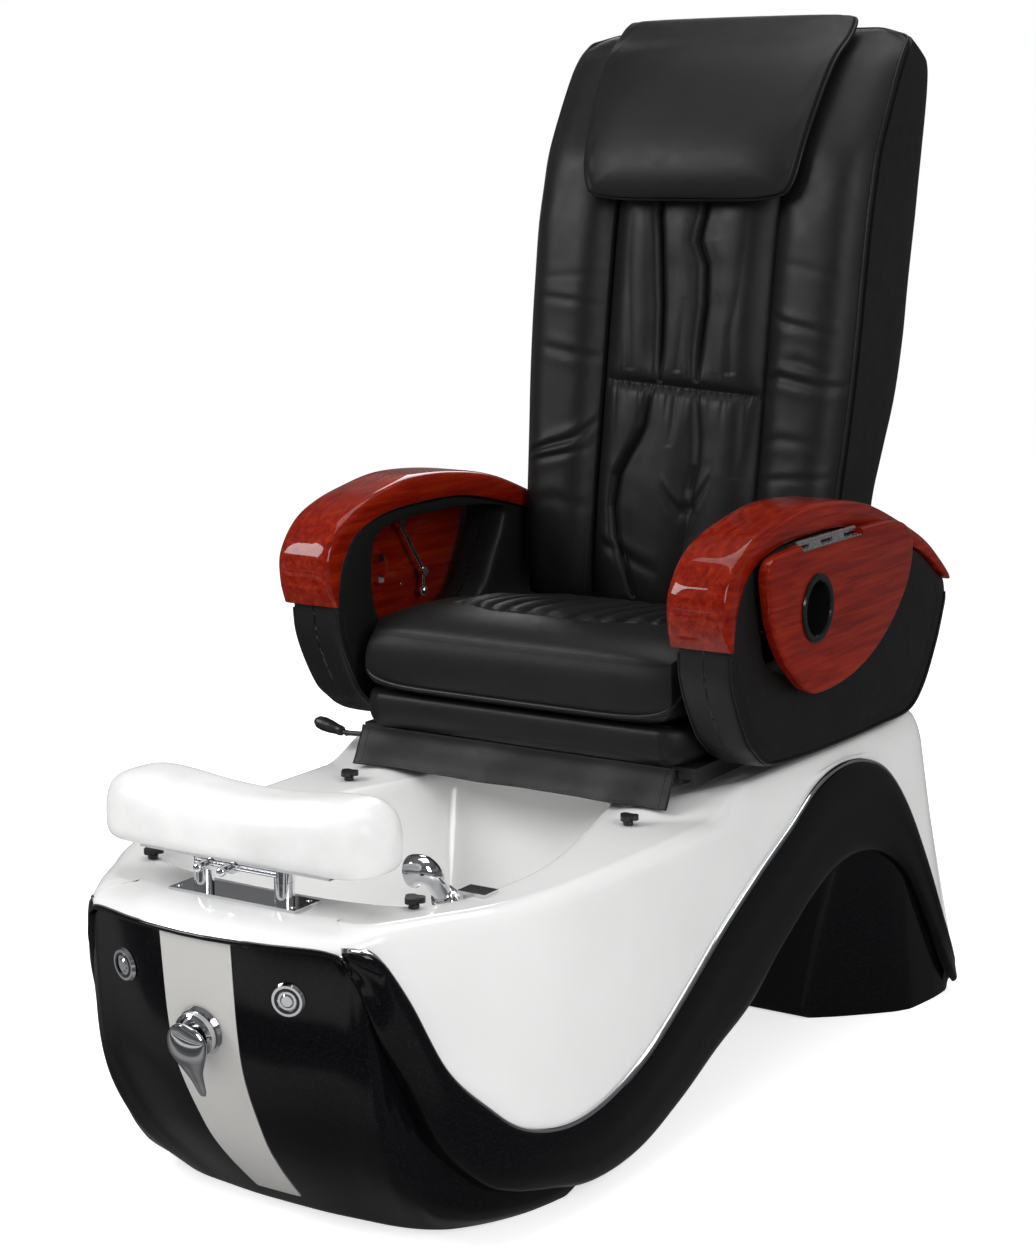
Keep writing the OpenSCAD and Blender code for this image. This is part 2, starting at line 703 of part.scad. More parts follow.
// ---------- soft slab: a grid top, rings down its sides, a strip floor ----------
function slab_edge(nx, ny) = concat(
  [for (i = [0:nx - 1]) [i, 0]], [for (j = [1:ny - 1]) [nx - 1, j]],
  [for (i = [nx - 2:-1:0]) [i, ny - 1]], [for (j = [ny - 2:-1:1]) [0, j]]);
module slab(top, rings) {
  nx = len(top[0]);
  ny = len(top);
  edge = slab_edge(nx, ny);
  n = len(edge);
  grid = nx * ny;
  ids = concat([[for (e = edge) e[1] * nx + e[0]]],
    [for (k = [0:len(rings) - 1]) [for (j = [0:n - 1]) grid + k * n + j]]);
  low = ids[len(rings)];
  rear = nx + ny - 2;
  polyhedron(points = concat([for (r = top) for (p = r) p], [for (r = rings) for (p = r) p]),
    faces = concat(
      [for (j = [0:ny - 2]) for (i = [0:nx - 2])
        let (a = j * nx + i, b = a + 1, c = b + nx, d = a + nx)
        for (f = i < (nx - 1) / 2 ? [[a, c, b], [a, d, c]] : [[a, d, b], [b, d, c]]) f],
      [for (k = [0:len(rings) - 1]) for (j = [0:n - 1])
        let (a = ids[k][j], b = ids[k][(j + 1) % n], c = ids[k + 1][(j + 1) % n], d = ids[k + 1][j])
        for (f = [[a, b, c], [a, c, d]]) f],
      [for (i = [0:nx - 2]) [low[n - 1], low[i], low[i + 1]]],
      [[low[n - 1], low[nx - 1], low[nx]]],
      [for (j = [1:ny - 3]) for (f = [[low[n - j], low[nx - 1 + j], low[nx + j]],
        [low[n - j], low[nx + j], low[n - j - 1]]]) f],
      [[low[n - ny + 2], low[rear - 1], low[rear]]],
      [for (i = [0:nx - 2]) [low[n - ny + 2], low[rear + i], low[(rear + i + 1) % n]]]),
    convexity = 6);
}
// Grid shares -1..1, closer together toward the edges
function share(i, n) = let (t = 2 * i / (n - 1) - 1) sin(90 * t) * 0.45 + t * 0.55;

// ---------- seat ----------
seat_front = -48;
seat_back = 392;
seat_low = 560;
seat_nx = 15;
seat_ny = 14;
seat_mid = (seat_front + seat_back) / 2;
seat_half = (seat_back - seat_front) / 2;
function seat_xy(u, v, in_x, in_y, k) =
  [(seat_w / 2 - in_x) * u * (1 - k * pow(abs(v), 6)),
    seat_mid + (seat_half - in_y) * v * (1 - k * pow(abs(u), 6))];
// Crown of the cushion: falls to the rear and to the edges, gathered insert behind the front roll
function seat_z(u, v) =
  let (h = platform_z + seat_rise - 26 * smooth((v + 0.3) / 1.3),
    e = pow(abs(u), 6) * 0.5 + pow(abs(v), v < 0 ? 6 : 8) * (v < 0 ? 0.62 : 0.4),
    roll = 6 * exp(-pow((v + 0.28) / 0.09, 2)) * (abs(u) < 0.8 ? 1 : 0.3),
    pleat = v > -0.2 && abs(u) < 0.7 ? 2.2 * sin(v * 1500 + u * 130) : 0)
  h - 42 * e - roll + pleat;
function seat_top(i, j) =
  let (u = share(i, seat_nx), v = share(j, seat_ny), p = seat_xy(u, v, 6, 5, 0.07))
  [p[0] * kx, p[1] * ky, seat_z(u, v) * kz];
function seat_ring(in_x, in_y, z, k) = [
  for (e = slab_edge(seat_nx, seat_ny))
    let (u = share(e[0], seat_nx), v = share(e[1], seat_ny), p = seat_xy(u, v, in_x, in_y, k),
      dip = z + (v < -0.5 ? 0 : 10) * (z > 600 ? 1 : 0))
    [p[0] * kx, p[1] * ky, dip * kz]];
module seat_cushion() {
  color(leather)
    place()
      slab([for (j = [0:seat_ny - 1]) [for (i = [0:seat_nx - 1]) seat_top(i, j)]],
        [seat_ring(1, 0, 642, 0.055), seat_ring(0, -2, 622, 0.05), seat_ring(8, -1, 600, 0.05),
          seat_ring(30, 5, 580, 0.05), seat_ring(56, 16, 567, 0.05),
          seat_ring(74, 30, seat_low + 0.3, 0.05)]);
}
// Padded roll round the seat box: station list of the path with its outward direction
box_x = 252;
box_front = -14;
box_rear = 404;
roll_stations = [
  [252, 392, 90], [252, 260, 90], [252, 130, 90], [252, 30, 90], [251, 6, 80], [246, -6, 52],
  [238, -12, 22], [226, -14, 0], [120, -14, 0], [20, -14, 0]];
roll_profile = [
  [17, 508], [24, 518], [26, 533], [25, 549], [22, 557], [15, 560], [0.3, 559.5], [0.3, 508]];
function roll_ring(s, side) = [for (p = roll_profile)
  [side * (s[0] + p[0] * sin(s[2])) * kx, (s[1] - p[0] * cos(s[2])) * ky, p[1] * kz]];
module valance_roll() {
  n = len(roll_stations);
  color(leather)
    place()
      skin(concat([for (i = [0:n - 1]) roll_ring(roll_stations[i], -1)],
        [for (i = [n - 1:-1:0]) roll_ring(roll_stations[i], 1)]), caps = "flat", mirror = false);
}
// Stitched skirt hanging from the roll: columns across, rows down
skirt_nx = 17;
skirt_rows = [[507, -38, 0], [497, -40, 1], [482, -46, 3], [465, -53, 4], [452, -60, 5]];
skirt_t = 2.4;
function skirt_pt(i, r, back) =
  let (t = 2 * i / (skirt_nx - 1) - 1, x = t * (268 - r[2] * 0.2),
    fold = r[2] * 0.8 * (sin(t * 430) + 0.4 * sin(t * 900 + 40)) - 3 * smooth((abs(t) - 0.8) / 0.2) * r[2] / 5)
  [x * kx, (r[1] + fold + back) * ky, r[0] * kz];
module skirt_flap() {
  color(leather)
    place() {
      skin([for (r = skirt_rows) concat([for (i = [0:skirt_nx - 1]) skirt_pt(i, r, 0)],
        [for (i = [skirt_nx - 1:-1:0]) skirt_pt(i, r, skirt_t)])], mirror = false);
      translate([-262 * kx, -37 * ky, 504.7 * kz])
        cube([524 * kx, (37 + box_front) * ky - 0.3, 3 * kz]);
    }
}
// Fixed rails on the platform and the sliding seat frame over them
rail_x = 270;
rail_w = 18;
rail_h = 11;
rail_front = 90;
rail_l = 332;
module slide_rails() {
  color(steel)
    place()
      for (s = [-1, 1])
        translate([s * rail_x * kx - rail_w / 2, rail_front * ky, platform_z * kz])
          cube([rail_w, rail_l, rail_h]);
}
pan_z = 498;
pan_half = 285;
channel_w = rail_w + 6;
pivot_y = 478;
pivot_z = 590;
ear_x = 216;
ear_t = 6;
shaft_d = 14;
rod_z = 530;
lug_x = -214;
lever_y = -24;
lever_hang = 6;
lever_dip = 4;
lever_l = 95;
grip_rise = 12;
grip_bore = 8;
module seat_frame() {
  z0 = pan_z * kz;
  zr = platform_z * kz;
  top = seat_low * kz;
  color(black)
    place()
      difference() {
        union() {
          translate([-pan_half * kx, box_front * ky + 6, z0])
            cube([2 * pan_half * kx, 500 * ky - box_front * ky, pan_t]);
          for (s = [-1, 1])
            translate([s * rail_x * kx - channel_w / 2, -8 * ky, zr + 1.5])
              cube([channel_w, 330 * ky, z0 - zr]);
          for (s = [-1, 1])
            translate([s * (pan_half * kx - 2) - 2, 90 * ky, z0])
              cube([4, 250 * ky, 46]);
          translate([0, 0, z0 + pan_t - 0.5])
            linear_extrude(top - z0 - pan_t + 0.5)
              polygon(concat([[box_x * kx, box_rear * ky]],
                [for (r = roll_stations) [r[0] * kx, r[1] * ky]],
                [for (i = [len(roll_stations) - 1:-1:0])
                  [-roll_stations[i][0] * kx, roll_stations[i][1] * ky]],
                [[-box_x * kx, box_rear * ky]]));
          for (s = [-1, 1])
            translate([s * ear_x * kx - ear_t / 2, 440 * ky, z0])
              cube([ear_t, 60 * ky, pivot_z * kz - z0 + 16]);
          translate([lug_x * kx - 5, lever_y * ky + 10, z0 - 15])
            cube([10, 20, 16]);
        }
        for (s = [-1, 1])
          translate([s * rail_x * kx - rail_w / 2 - fit, -20 * ky, zr])
            cube([rail_w + 2 * fit, 400 * ky, rail_h + fit]);
        translate([-(box_x - 12) * kx, (box_front + 12) * ky, z0 + pan_t])
          cube([2 * (box_x - 12) * kx, (box_rear - box_front - 24) * ky, top - z0 - pan_t - 12]);
        translate([0, box_rear * ky - 40, rod_z * kz])
          rotate([-90, 0, 0])
            cylinder(d = 17, h = 60, $fn = hole_fn);
        translate([-300, pivot_y * ky, pivot_z * kz])
          rotate([0, 90, 0])
            cylinder(d = shaft_d + 2 * fit, h = 600, $fn = hole_fn);
        translate([lug_x * kx, lever_y * ky - 20, z0 - lever_hang])
          rotate([-90, 0, 0])
            cylinder(d = 6 + 2 * fit, h = 80, $fn = hole_fn);
      }
}
// Stands the children at the bend of the slide lever, +Z along its grip
module at_grip() {
  translate([lug_x * kx - lever_l * cos(lever_dip), lever_y * ky,
      pan_z * kz - lever_hang - lever_l * sin(lever_dip)])
    rotate([0, -90 + grip_rise, 0])
      children();
}
module slide_lever() {
  color(steel)
    place() {
      translate([lug_x * kx, lever_y * ky - 4, pan_z * kz - lever_hang]) {
        rotate([-90, 0, 0])
          cylinder(d = 12, h = 13);
        rotate([-90, 0, 0])
          cylinder(d = 6, h = 34);
        translate([0, 4, 0])
          rotate([0, -90 - lever_dip, 0])
            cylinder(d = grip_bore, h = lever_l);
      }
      at_grip()
        sphere(d = grip_bore + 1.5);
      at_grip()
        cylinder(d = grip_bore, h = 20);
    }
}
module lever_grip() {
  color(black)
    place()
      at_grip()
        difference() {
          rotate_extrude($fn = 40)
            polygon([[0, 8], [7, 8], [8, 12], [8, 18], [10, 30], [11, 44], [9.5, 54], [5, 60], [0, 61]]);
          translate([0, 0, -1])
            cylinder(d = grip_bore, h = 21, $fn = hole_fn);
        }
}

// ---------- arms ----------
// Wooden cap, front tip to rear: outer y, z and inner y, z
cap_rows = [
  [-84, 691, -76, 689], [-100, 725, -70, 718], [-101, 771, -60, 752], [-65, 815, -34, 787],
  [-13, 839, 14, 808], [57, 855, 66, 818], [146, 867, 146, 822], [265, 861, 262, 820],
  [374, 842, 368, 801], [491, 802, 482, 773], [583, 763, 575, 742], [660, 717, 652, 702],
  [690, 690, 688, 684]];
// Rest of the upholstered arm's outline, rear, underside and front
arm_rest_rows = [
  [692, 655], [683, 628], [660, 583], [612, 520], [553, 489], [440, 488], [331, 489], [220, 492],
  [113, 497], [47, 505], [10, 527], [-18, 551], [-50, 600], [-70, 645]];
// Window of the arm, point for point with the outline
window_rows = [
  [26, 716], [25, 735], [27, 755], [32, 775], [48, 790], [80, 797], [140, 802], [230, 802],
  [310, 800], [375, 793], [396, 782], [393, 764], [386, 748], [378, 733], [370, 718], [360, 700],
  [349, 681], [335, 662], [300, 640], [250, 629], [190, 625], [130, 627], [85, 636], [55, 650],
  [38, 666], [30, 682], [27, 699]];
arm_rows = concat([for (r = cap_rows) [r[2], r[3] - 0.4]], arm_rest_rows);
cap_last = len(cap_rows) - 1;
arm_us = concat([for (i = [0:2 * cap_last]) i / 2], [for (i = [cap_last + 1:len(arm_rows) - 1]) i]);
function arm_out(u) = spl(concat(arm_rows, [arm_rows[0]]), u);
function arm_in(u) = spl(concat(window_rows, [window_rows[0]]), u);
arm_x = 285;
// Section of the padding: share from the outline to the window, x from the inner face
arm_profile = [
  [0, 0.08], [0, 0.92], [0.06, 0.985], [0.3, 1.02], [0.7, 1.02], [0.94, 0.97], [1, 0.9],
  [1, 0.1], [0.94, 0.02], [0.5, 0], [0.06, 0.02]];
module arm_body(side) {
  n = len(arm_us);
  m = len(arm_profile);
  pts = [for (u = arm_us) for (p = arm_profile)
    let (q = u <= cap_last && p[0] == 0
      ? [spl(cap_rows, u)[2], spl(cap_rows, u)[3] - 0.4] : lerp(arm_out(u), arm_in(u), p[0]))
    [(arm_x + p[1] * arm_t) * kx, q[0] * ky, q[1] * kz]];
  faces = [for (j = [0:n - 1]) for (i = [0:m - 1])
    let (a = j * m + i, b = j * m + (i + 1) % m, c = ((j + 1) % n) * m + (i + 1) % m,
      d = ((j + 1) % n) * m + i)
    for (f = [[a, b, c], [a, c, d]]) f];
  mirror([side < 0 ? 1 : 0, 0, 0])
    polyhedron(points = pts, faces = faces, convexity = 8);
}
module arm_body_left() {
  color(leather)
    place()
      arm_body(-1);
}
module arm_body_right() {
  color(leather)
    place()
      arm_body(1);
}
// Section of the cap: share from the inner to the outer line, x from the arm's inner face
cap_profile = [
  [0, -3], [0.14, -6], [0.7, -6], [0.93, -1], [1, 9], [1, 82], [0.93, 91], [0.7, 96], [0.14, 96],
  [0, 93]];
function cap_pt(u, p) =
  let (r = spl(cap_rows, u), k = lerp(1, cap_t / 45, sin(180 * u / cap_last)),
    q = lerp([r[2], r[3]], [r[0], r[1]], p[0] * k))
  [(arm_x + p[1]) * kx, q[0] * ky, q[1] * kz];
module arm_cap(side) {
  mirror([side < 0 ? 1 : 0, 0, 0])
    skin([for (i = [0:2 * cap_last]) [for (p = cap_profile) cap_pt(i / 2, p)]], mirror = false);
}
module arm_cap_left() {
  color(wood)
    place()
      arm_cap(-1);
}
module arm_cap_right() {
  color(wood)
    place()
      arm_cap(1);
}
// Teardrop tray on the outer side, hanging from a long hinge
tray_rows = [
  [-22, 797], [-12, 808], [12, 814], [50, 817], [112, 820], [222, 820], [330, 819], [392, 817],
  [432, 810], [463, 793], [473, 768], [466, 735], [449, 706], [420, 678], [388, 654], [350, 633],
  [314, 619], [270, 607], [226, 600], [180, 597], [140, 598], [110, 607], [86, 622], [62, 640],
  [37, 660], [12, 690], [-6, 722], [-16, 752], [-23, 780]];
tray_x = 384;
tray_n = 58;
hinge_y0 = 84;
hinge_l = 196;
hinge_x = 387;
hinge_z = 819;
knuckle_d = 8;
knuckles = 5;
cup_y = 132;
cup_z = 724;
cup_flange = 100;
module tray(side) {
  loop = concat(tray_rows, [tray_rows[0]]);
  mirror([side < 0 ? 1 : 0, 0, 0])
    difference() {
      translate([tray_x * kx, 0, 0])
        rotate([90, 0, 90])
          linear_extrude(height = tray_t)
            polygon([for (i = [0:tray_n - 1])
              let (p = spl(loop, i * len(tray_rows) / tray_n)) [p[0] * ky, p[1] * kz]]);
      translate([tray_x * kx - 1, hinge_y0 * ky - 3, (hinge_z - 9) * kz])
        cube([tray_t + 2, hinge_l * ky + 6, 30]);
      if (side > 0)
        translate([tray_x * kx - 1, cup_y * ky, cup_z * kz])
          rotate([0, 90, 0])
            cylinder(d = cup_d + 6, h = 40, $fn = 96);
    }
}
module tray_left() {
  color(wood)
    place()
      tray(-1);
}
module tray_right() {
  color(wood)
    place()
      tray(1);
}
cup_deep = 66;
module cup_holder_right() {
  color(black)
    place()
      translate([tray_x * kx, cup_y * ky, cup_z * kz])
        rotate([0, 90, 0])
          rotate_extrude($fn = 96)
            polygon([[0, -cup_deep], [cup_d / 2, -cup_deep], [cup_d / 2 + 2.9, -cup_deep + 4],
              [cup_d / 2 + 2.9, tray_t + 0.2], [cup_flange / 2, tray_t + 0.2],
              [cup_flange / 2, tray_t + 2], [cup_flange / 2 - 2, tray_t + 4],
              [cup_d / 2 + 2, tray_t + 4], [cup_d / 2, tray_t + 2], [cup_d / 2, -cup_deep + 4],
              [0, -cup_deep + 4]]);
}
knuckle_l = hinge_l / knuckles;
module knuckle_row(first, gap) {
  for (i = [first:2:knuckles - 1])
    translate([hinge_x * kx, (hinge_y0 + i * knuckle_l) * ky + gap, hinge_z * kz])
      rotate([-90, 0, 0])
        cylinder(d = knuckle_d, h = knuckle_l * ky - 2 * gap);
}
// Outer face of the padded arm, where the fixed hinge leaf is screwed on
function arm_face() = (arm_x + 1.02 * arm_t) * kx + 0.3;
module tray_hinge(side) {
  mirror([side < 0 ? 1 : 0, 0, 0]) {
    knuckle_row(0, 0.3);
    for (i = [0:2:knuckles - 1])
      translate([arm_face() + 1, (hinge_y0 + i * knuckle_l) * ky + 0.3, hinge_z * kz - 4])
        cube([hinge_x * kx - arm_face() - 1, knuckle_l * ky - 0.6, 2]);
    translate([arm_face(), hinge_y0 * ky, hinge_z * kz - 26])
      cube([3, hinge_l * ky, 24]);
    translate([hinge_x * kx, hinge_y0 * ky, hinge_z * kz])
      rotate([-90, 0, 0])
        cylinder(d = 4, h = hinge_l * ky);
  }
}
module tray_leaf(side) {
  mirror([side < 0 ? 1 : 0, 0, 0]) {
    difference() {
      union() {
        knuckle_row(1, 0.3);
        for (i = [1:2:knuckles - 1])
          translate([hinge_x * kx - 1, (hinge_y0 + i * knuckle_l) * ky + 0.3, hinge_z * kz - 9])
            cube([4, knuckle_l * ky - 0.6, 8]);
        translate([tray_x * kx + 0.5, hinge_y0 * ky, (hinge_z - 9) * kz])
          cube([tray_t - 1, hinge_l * ky, 2]);
      }
      translate([hinge_x * kx, 0, hinge_z * kz])
        rotate([-90, 0, 0])
          cylinder(d = 4 + 2 * fit, h = 400, $fn = hole_fn);
    }
  }
}
module tray_hinge_left() {
  color(chrome)
    place()
      tray_hinge(-1);
}
module tray_hinge_right() {
  color(chrome)
    place()
      tray_hinge(1);
}
module tray_leaf_left() {
  color(chrome)
    place()
      tray_leaf(-1);
}
module tray_leaf_right() {
  color(chrome)
    place()
      tray_leaf(1);
}
// Folding stay behind the tray, folded: bracket under the window top, strut, swinging link with
// an oval knob; its other half is the bracket pair on the tray
stay_x = 366;
stay_top = [205, 778];
stay_knee = [273, 691];
// The right stay stands further back, behind the cup holder
stay_shift = [0, 24];
module bar(p, q, d) {
  v = q - p;
  translate([stay_x * kx, p[0], p[1]])
    rotate([atan2(v[1], v[0]), 0, 0])
      rotate([-90, 0, 0])
        cylinder(d = d, h = norm(v));
}
module stay_bracket(side) {
  dy = stay_shift[side < 0 ? 0 : 1];
  y = (stay_top[0] + dy) * ky;
  z = stay_top[1] * kz;
  mirror([side < 0 ? 1 : 0, 0, 0]) {
    translate([stay_x * kx - 16, y - 16, z + 19.8])
      cube([18, 60, 2.4]);
    translate([stay_x * kx - 8, y - 7, z - 7])
      cube([3, 14, 28]);
    translate([stay_x * kx - 8, y, z])
      rotate([0, 90, 0])
        cylinder(d = 6, h = 14);
  }
}
module stay_link(side) {
  dy = stay_shift[side < 0 ? 0 : 1];
  p = [(stay_top[0] + dy) * ky, stay_top[1] * kz];
  q = [(stay_knee[0] + dy) * ky, stay_knee[1] * kz];
  mirror([side < 0 ? 1 : 0, 0, 0])
    difference() {
      union() {
        bar(p, q, 7);
        translate([stay_x * kx - 4, p[0], p[1]])
          rotate([0, 90, 0])
            cylinder(d = 13, h = 8);
        translate([stay_x * kx - 5, q[0], q[1]])
          rotate([0, 90, 0])
            cylinder(d = 15, h = 10);
        translate([stay_x * kx, q[0] - 1, q[1] - 30])
          cylinder(d = 6, h = 28);
        translate([stay_x * kx, q[0] - 1, q[1] - 32])
          sphere(d = 16);
      }
      translate([stay_x * kx - 20, p[0], p[1]])
        rotate([0, 90, 0])
          cylinder(d = 6 + 2 * fit, h = 40, $fn = hole_fn);
    }
}
module stay_bracket_left() {
  color(chrome)
    place()
      stay_bracket(-1);
}
module stay_bracket_right() {
  color(chrome)
    place()
      stay_bracket(1);
}
module stay_link_left() {
  color(chrome)
    place()
      stay_link(-1);
}
module stay_link_right() {
  color(chrome)
    place()
      stay_link(1);
}
// Pair of lugs on the inner face of each tray
module tray_lugs(side) {
  dy = stay_shift[side < 0 ? 0 : 1];
  mirror([side < 0 ? 1 : 0, 0, 0])
    for (z = [692, 726])
      translate([tray_x * kx - 12, (156 + dy) * ky, z * kz - 6])
        cube([12, 14, 12]);
}
module tray_lugs_left() {
  color(chrome)
    place()
      tray_lugs(-1);
}
module tray_lugs_right() {
  color(chrome)
    place()
      tray_lugs(1);
}

// ---------- back ----------
// Spine from the seat to the top: front y, z of the piping line, rear y, z of the side edge, half width
spine_rows = [
  [436, 640, 588, 636, 266], [446, 740, 602, 738, 274], [457, 838, 615, 822, 278],
  [467, 905, 640, 892, 282], [479, 996, 672, 978, 287], [491, 1087, 692, 1064, 290],
  [501, 1160, 704, 1146, 291], [513, 1240, 718, 1232, 292], [528, 1300, 730, 1300, 292],
  [545, 1358, 740, 1356, 292], [580, 1424, 748, 1412, 292], [619, 1488, 752, 1452, 291],
  [648, 1522, 754, 1480, 289], [674, 1552, 752, 1504, 284]];
// Drawn extent to the rear: the bulged back of the shell
spine_last = len(spine_rows) - 1;
rear_drawn = max([for (i = [0:64])
  let (s = (len(spine_rows) - 1) * i / 64, r = spl(spine_rows, s), f = [r[0], r[1]],
    v = [r[2], r[3]] - f) f[0] + unit2(v)[0] * (norm(v) + 42)]);
front_drawn = hull_at(0, mixer_z)[1];
side_drawn = max([for (u = band_us) max([for (p = band_ring(u)) p[0]])]);
kx = chair_w / 2 / side_drawn;
ky = (chair_l - lever_reach) / (rear_drawn - front_drawn);
// Puts the middle of the length on the origin
frame_dy = -((front_drawn + rear_drawn) * ky - lever_reach) / 2;
back_scale = back_w / 584;
// Point of the back as drawn: x, depth behind the piping line, place along the spine
function back_raw(x, d, s) =
  let (r = spl(spine_rows, s), f = [r[0], r[1]], v = unit2([r[2], r[3]] - f))
  [x * back_scale, f[0] + v[0] * d, f[1] + v[1] * d];
function back_pt(x, d, s) = S(back_raw(x, d, s));
function back_half(s) = spl(spine_rows, s)[4];
function back_deep(s) = let (r = spl(spine_rows, s)) norm([r[2] - r[0], r[3] - r[1]]);
cover_d = 20;
shell_ss = [for (i = [0:16]) spine_last * i / 16];
function shell_ring(s, k, in) =
  let (w = back_half(s) - in, d = lerp(cover_d, back_deep(s), k), b = 42 * k)
  [for (e = [[-1, 0], [1, 0], [1.005, 0.35], [1.005, 0.8], [0.985, 0.94], [0.93, 1],
      [0.6, 1.12], [0.2, 1.2], [-0.2, 1.2], [-0.6, 1.12], [-0.93, 1], [-0.985, 0.94], [-1.005, 0.8],
      [-1.005, 0.35]])
    let (q = e[1] > 1 ? d + (e[1] - 1) * 5 * b : lerp(cover_d, d, e[1]))
    back_pt(w * e[0], q, s)];
module back_shell() {
  color(leather)
    place()
      difference() {
        skin(concat(
          [shell_ring(spine_last, 0.45, 46), shell_ring(spine_last - 0.12, 0.8, 18)],
          [for (i = [15:-1:1]) shell_ring(shell_ss[i], 1, 0)],
          [shell_ring(0.18, 1, 4), shell_ring(0, 0.86, 16)]), caps = "flat", mirror = false);
        back_bars(0.4);
      }
}
// Upright bars of the back frame
bar_lean = -13;
bar_w = 34;
bar_t = 8;
bar_l = 210;
module back_bars(c) {
  for (s = [-1, 1])
    translate([s * (ear_x * kx - ear_t / 2 - bar_t / 2 - 1), pivot_y * ky, pivot_z * kz])
      rotate([bar_lean, 0, 0])
        translate([-bar_t / 2 - c, -bar_w / 2 - c, -14])
          cube([bar_t + 2 * c, bar_w + 2 * c, bar_l + 14 + c]);
}
lever_drop = 60;
eye_d = 10;
module back_frame() {
  x = 2 * (ear_x * kx + ear_t / 2 + 4);
  color(steel)
    place()
      union() {
        back_bars(0);
        translate([-x / 2, pivot_y * ky, pivot_z * kz])
          rotate([0, 90, 0])
            cylinder(d = shaft_d, h = x);
        translate([-4, pivot_y * ky - 9, pivot_z * kz - lever_drop - 9])
          cube([8, 18, lever_drop + 16]);
        translate([-11, pivot_y * ky, pivot_z * kz - lever_drop])
          rotate([0, 90, 0])
            cylinder(d = eye_d, h = 22);
      }
}
module recline_actuator() {
  y0 = 170 * ky;
  z = rod_z * kz;
  color(steel)
    place()
      difference() {
        union() {
          translate([0, y0, z])
            rotate([-90, 0, 0])
              cylinder(d = 30, h = 200 * ky);
          translate([-18, y0 + 8, pan_z * kz + pan_t])
            cube([36, 30, z - pan_z * kz - pan_t]);
          translate([-18, y0 + 160 * ky, pan_z * kz + pan_t])
            cube([36, 30, z - pan_z * kz - pan_t]);
        }
        translate([0, y0 + 20, z])
          rotate([-90, 0, 0])
            cylinder(d = 16 + 2 * fit, h = 300 * ky, $fn = hole_fn);
      }
}
module actuator_rod() {
  y1 = pivot_y * ky;
  z = pivot_z * kz - lever_drop;
  color(chrome)
    place()
      difference() {
        union() {
          translate([0, 260 * ky, rod_z * kz])
            rotate([-90, 0, 0])
              cylinder(d = 16, h = y1 - 20 - 260 * ky);
          translate([-12, y1 - 24, z - 11])
            cube([24, 36, 34]);
        }
        translate([-5.5, y1 - 15, z - 30])
          cube([11, 60, 70]);
        translate([-30, y1 - eye_d / 2 - 1.2, z - eye_d / 2 - 0.5])
          cube([60, eye_d + 2.4, 23]);
      }
}
// Cushions of the back: grid over x and the spine, depth bulging to the front
centre_s1 = spine_last - 0.35;
centre_nx = 13;
centre_ny = 22;
seam_d = -8;
// Gathered waist of the centre panel, as a place along the spine
waist_s = 4.15;
function centre_d(u, v, s) =
  let (pleat = cos(u * 430 + 15) * (3.4 - 1.6 * exp(-pow((s - waist_s) / 0.35, 2))),
    waist = 9 * exp(-pow((s - waist_s) / 0.22, 2)), edge = pow(abs(u), 6))
  seam_d + 8 * edge + 10 * pow(abs(v), 12) - (1 - edge) * 17 + waist * (1 - edge) - pleat * (1 - edge);
function centre_top(i, j) =
  let (u = share(i, centre_nx), v = share(j, centre_ny), s = (v + 1) / 2 * centre_s1 + 0.05)
  back_pt(u * (centre_w / 2 - 1), centre_d(u, v, s) + 14 * smooth((v - 0.6) / 0.4), s);
function edge_ring(nx, ny, s0, s1, xa, xb, d, in) = [
  for (e = slab_edge(nx, ny))
    let (u = share(e[0], nx), v = share(e[1], ny), s = lerp(s0, s1, (v * (1 - in) + 1) / 2))
    back_pt(lerp(xa, xb, (u + 1) / 2), d, s)];
module back_centre() {
  w = centre_w / 2 - 1;
  color(leather)
    place()
      slab([for (j = [0:centre_ny - 1]) [for (i = [0:centre_nx - 1]) centre_top(i, j)]],
        [edge_ring(centre_nx, centre_ny, 0.05, centre_s1 + 0.05, -w, w, 12, 0),
          edge_ring(centre_nx, centre_ny, 0.05, centre_s1 + 0.05, -w, w, cover_d - 1.2, 0.01)]);
}
bolster_nx = 8;
bolster_ny = 22;
function bolster_x(u, s) = lerp(centre_w / 2 + 1, back_half(s) - 1, (u + 1) / 2);
function bolster_d(u, v) =
  let (e = pow(abs(u), 3.2), crease = 1.6 * sin(v * 1300 + u * 90) * (1 - e))
  lerp(lerp(-36, -12, smooth((v - 0.35) / 0.65)), u > 0 ? -2 : seam_d, e) + 14 * pow(abs(v), 14)
  + crease;
module bolster(side) {
  top = [for (j = [0:bolster_ny - 1]) [for (i = [0:bolster_nx - 1])
    let (u = share(i, bolster_nx), v = share(j, bolster_ny), s = (v + 1) / 2 * (spine_last - 0.1) + 0.05)
    back_pt(bolster_x(u, s), bolster_d(u, v), s)]];
  rings = [for (d = [8, cover_d - 1.2]) [for (e = slab_edge(bolster_nx, bolster_ny))
    let (u = share(e[0], bolster_nx), v = share(e[1], bolster_ny), s = (v + 1) / 2 * (spine_last - 0.1) + 0.05)
    back_pt(bolster_x(u, s) - (d > 10 && u > 0.99 ? 2 : 0), d, s)]];
  mirror([side < 0 ? 1 : 0, 0, 0])
    slab(top, rings);
}
module back_bolsters() {
  color(leather)
    place()
      for (s = [-1, 1])
        bolster(s);
}
pillow_nx = 13;
pillow_ny = 12;
pillow_s0 = 7.75;
pillow_s1 = spine_last + 0.5;
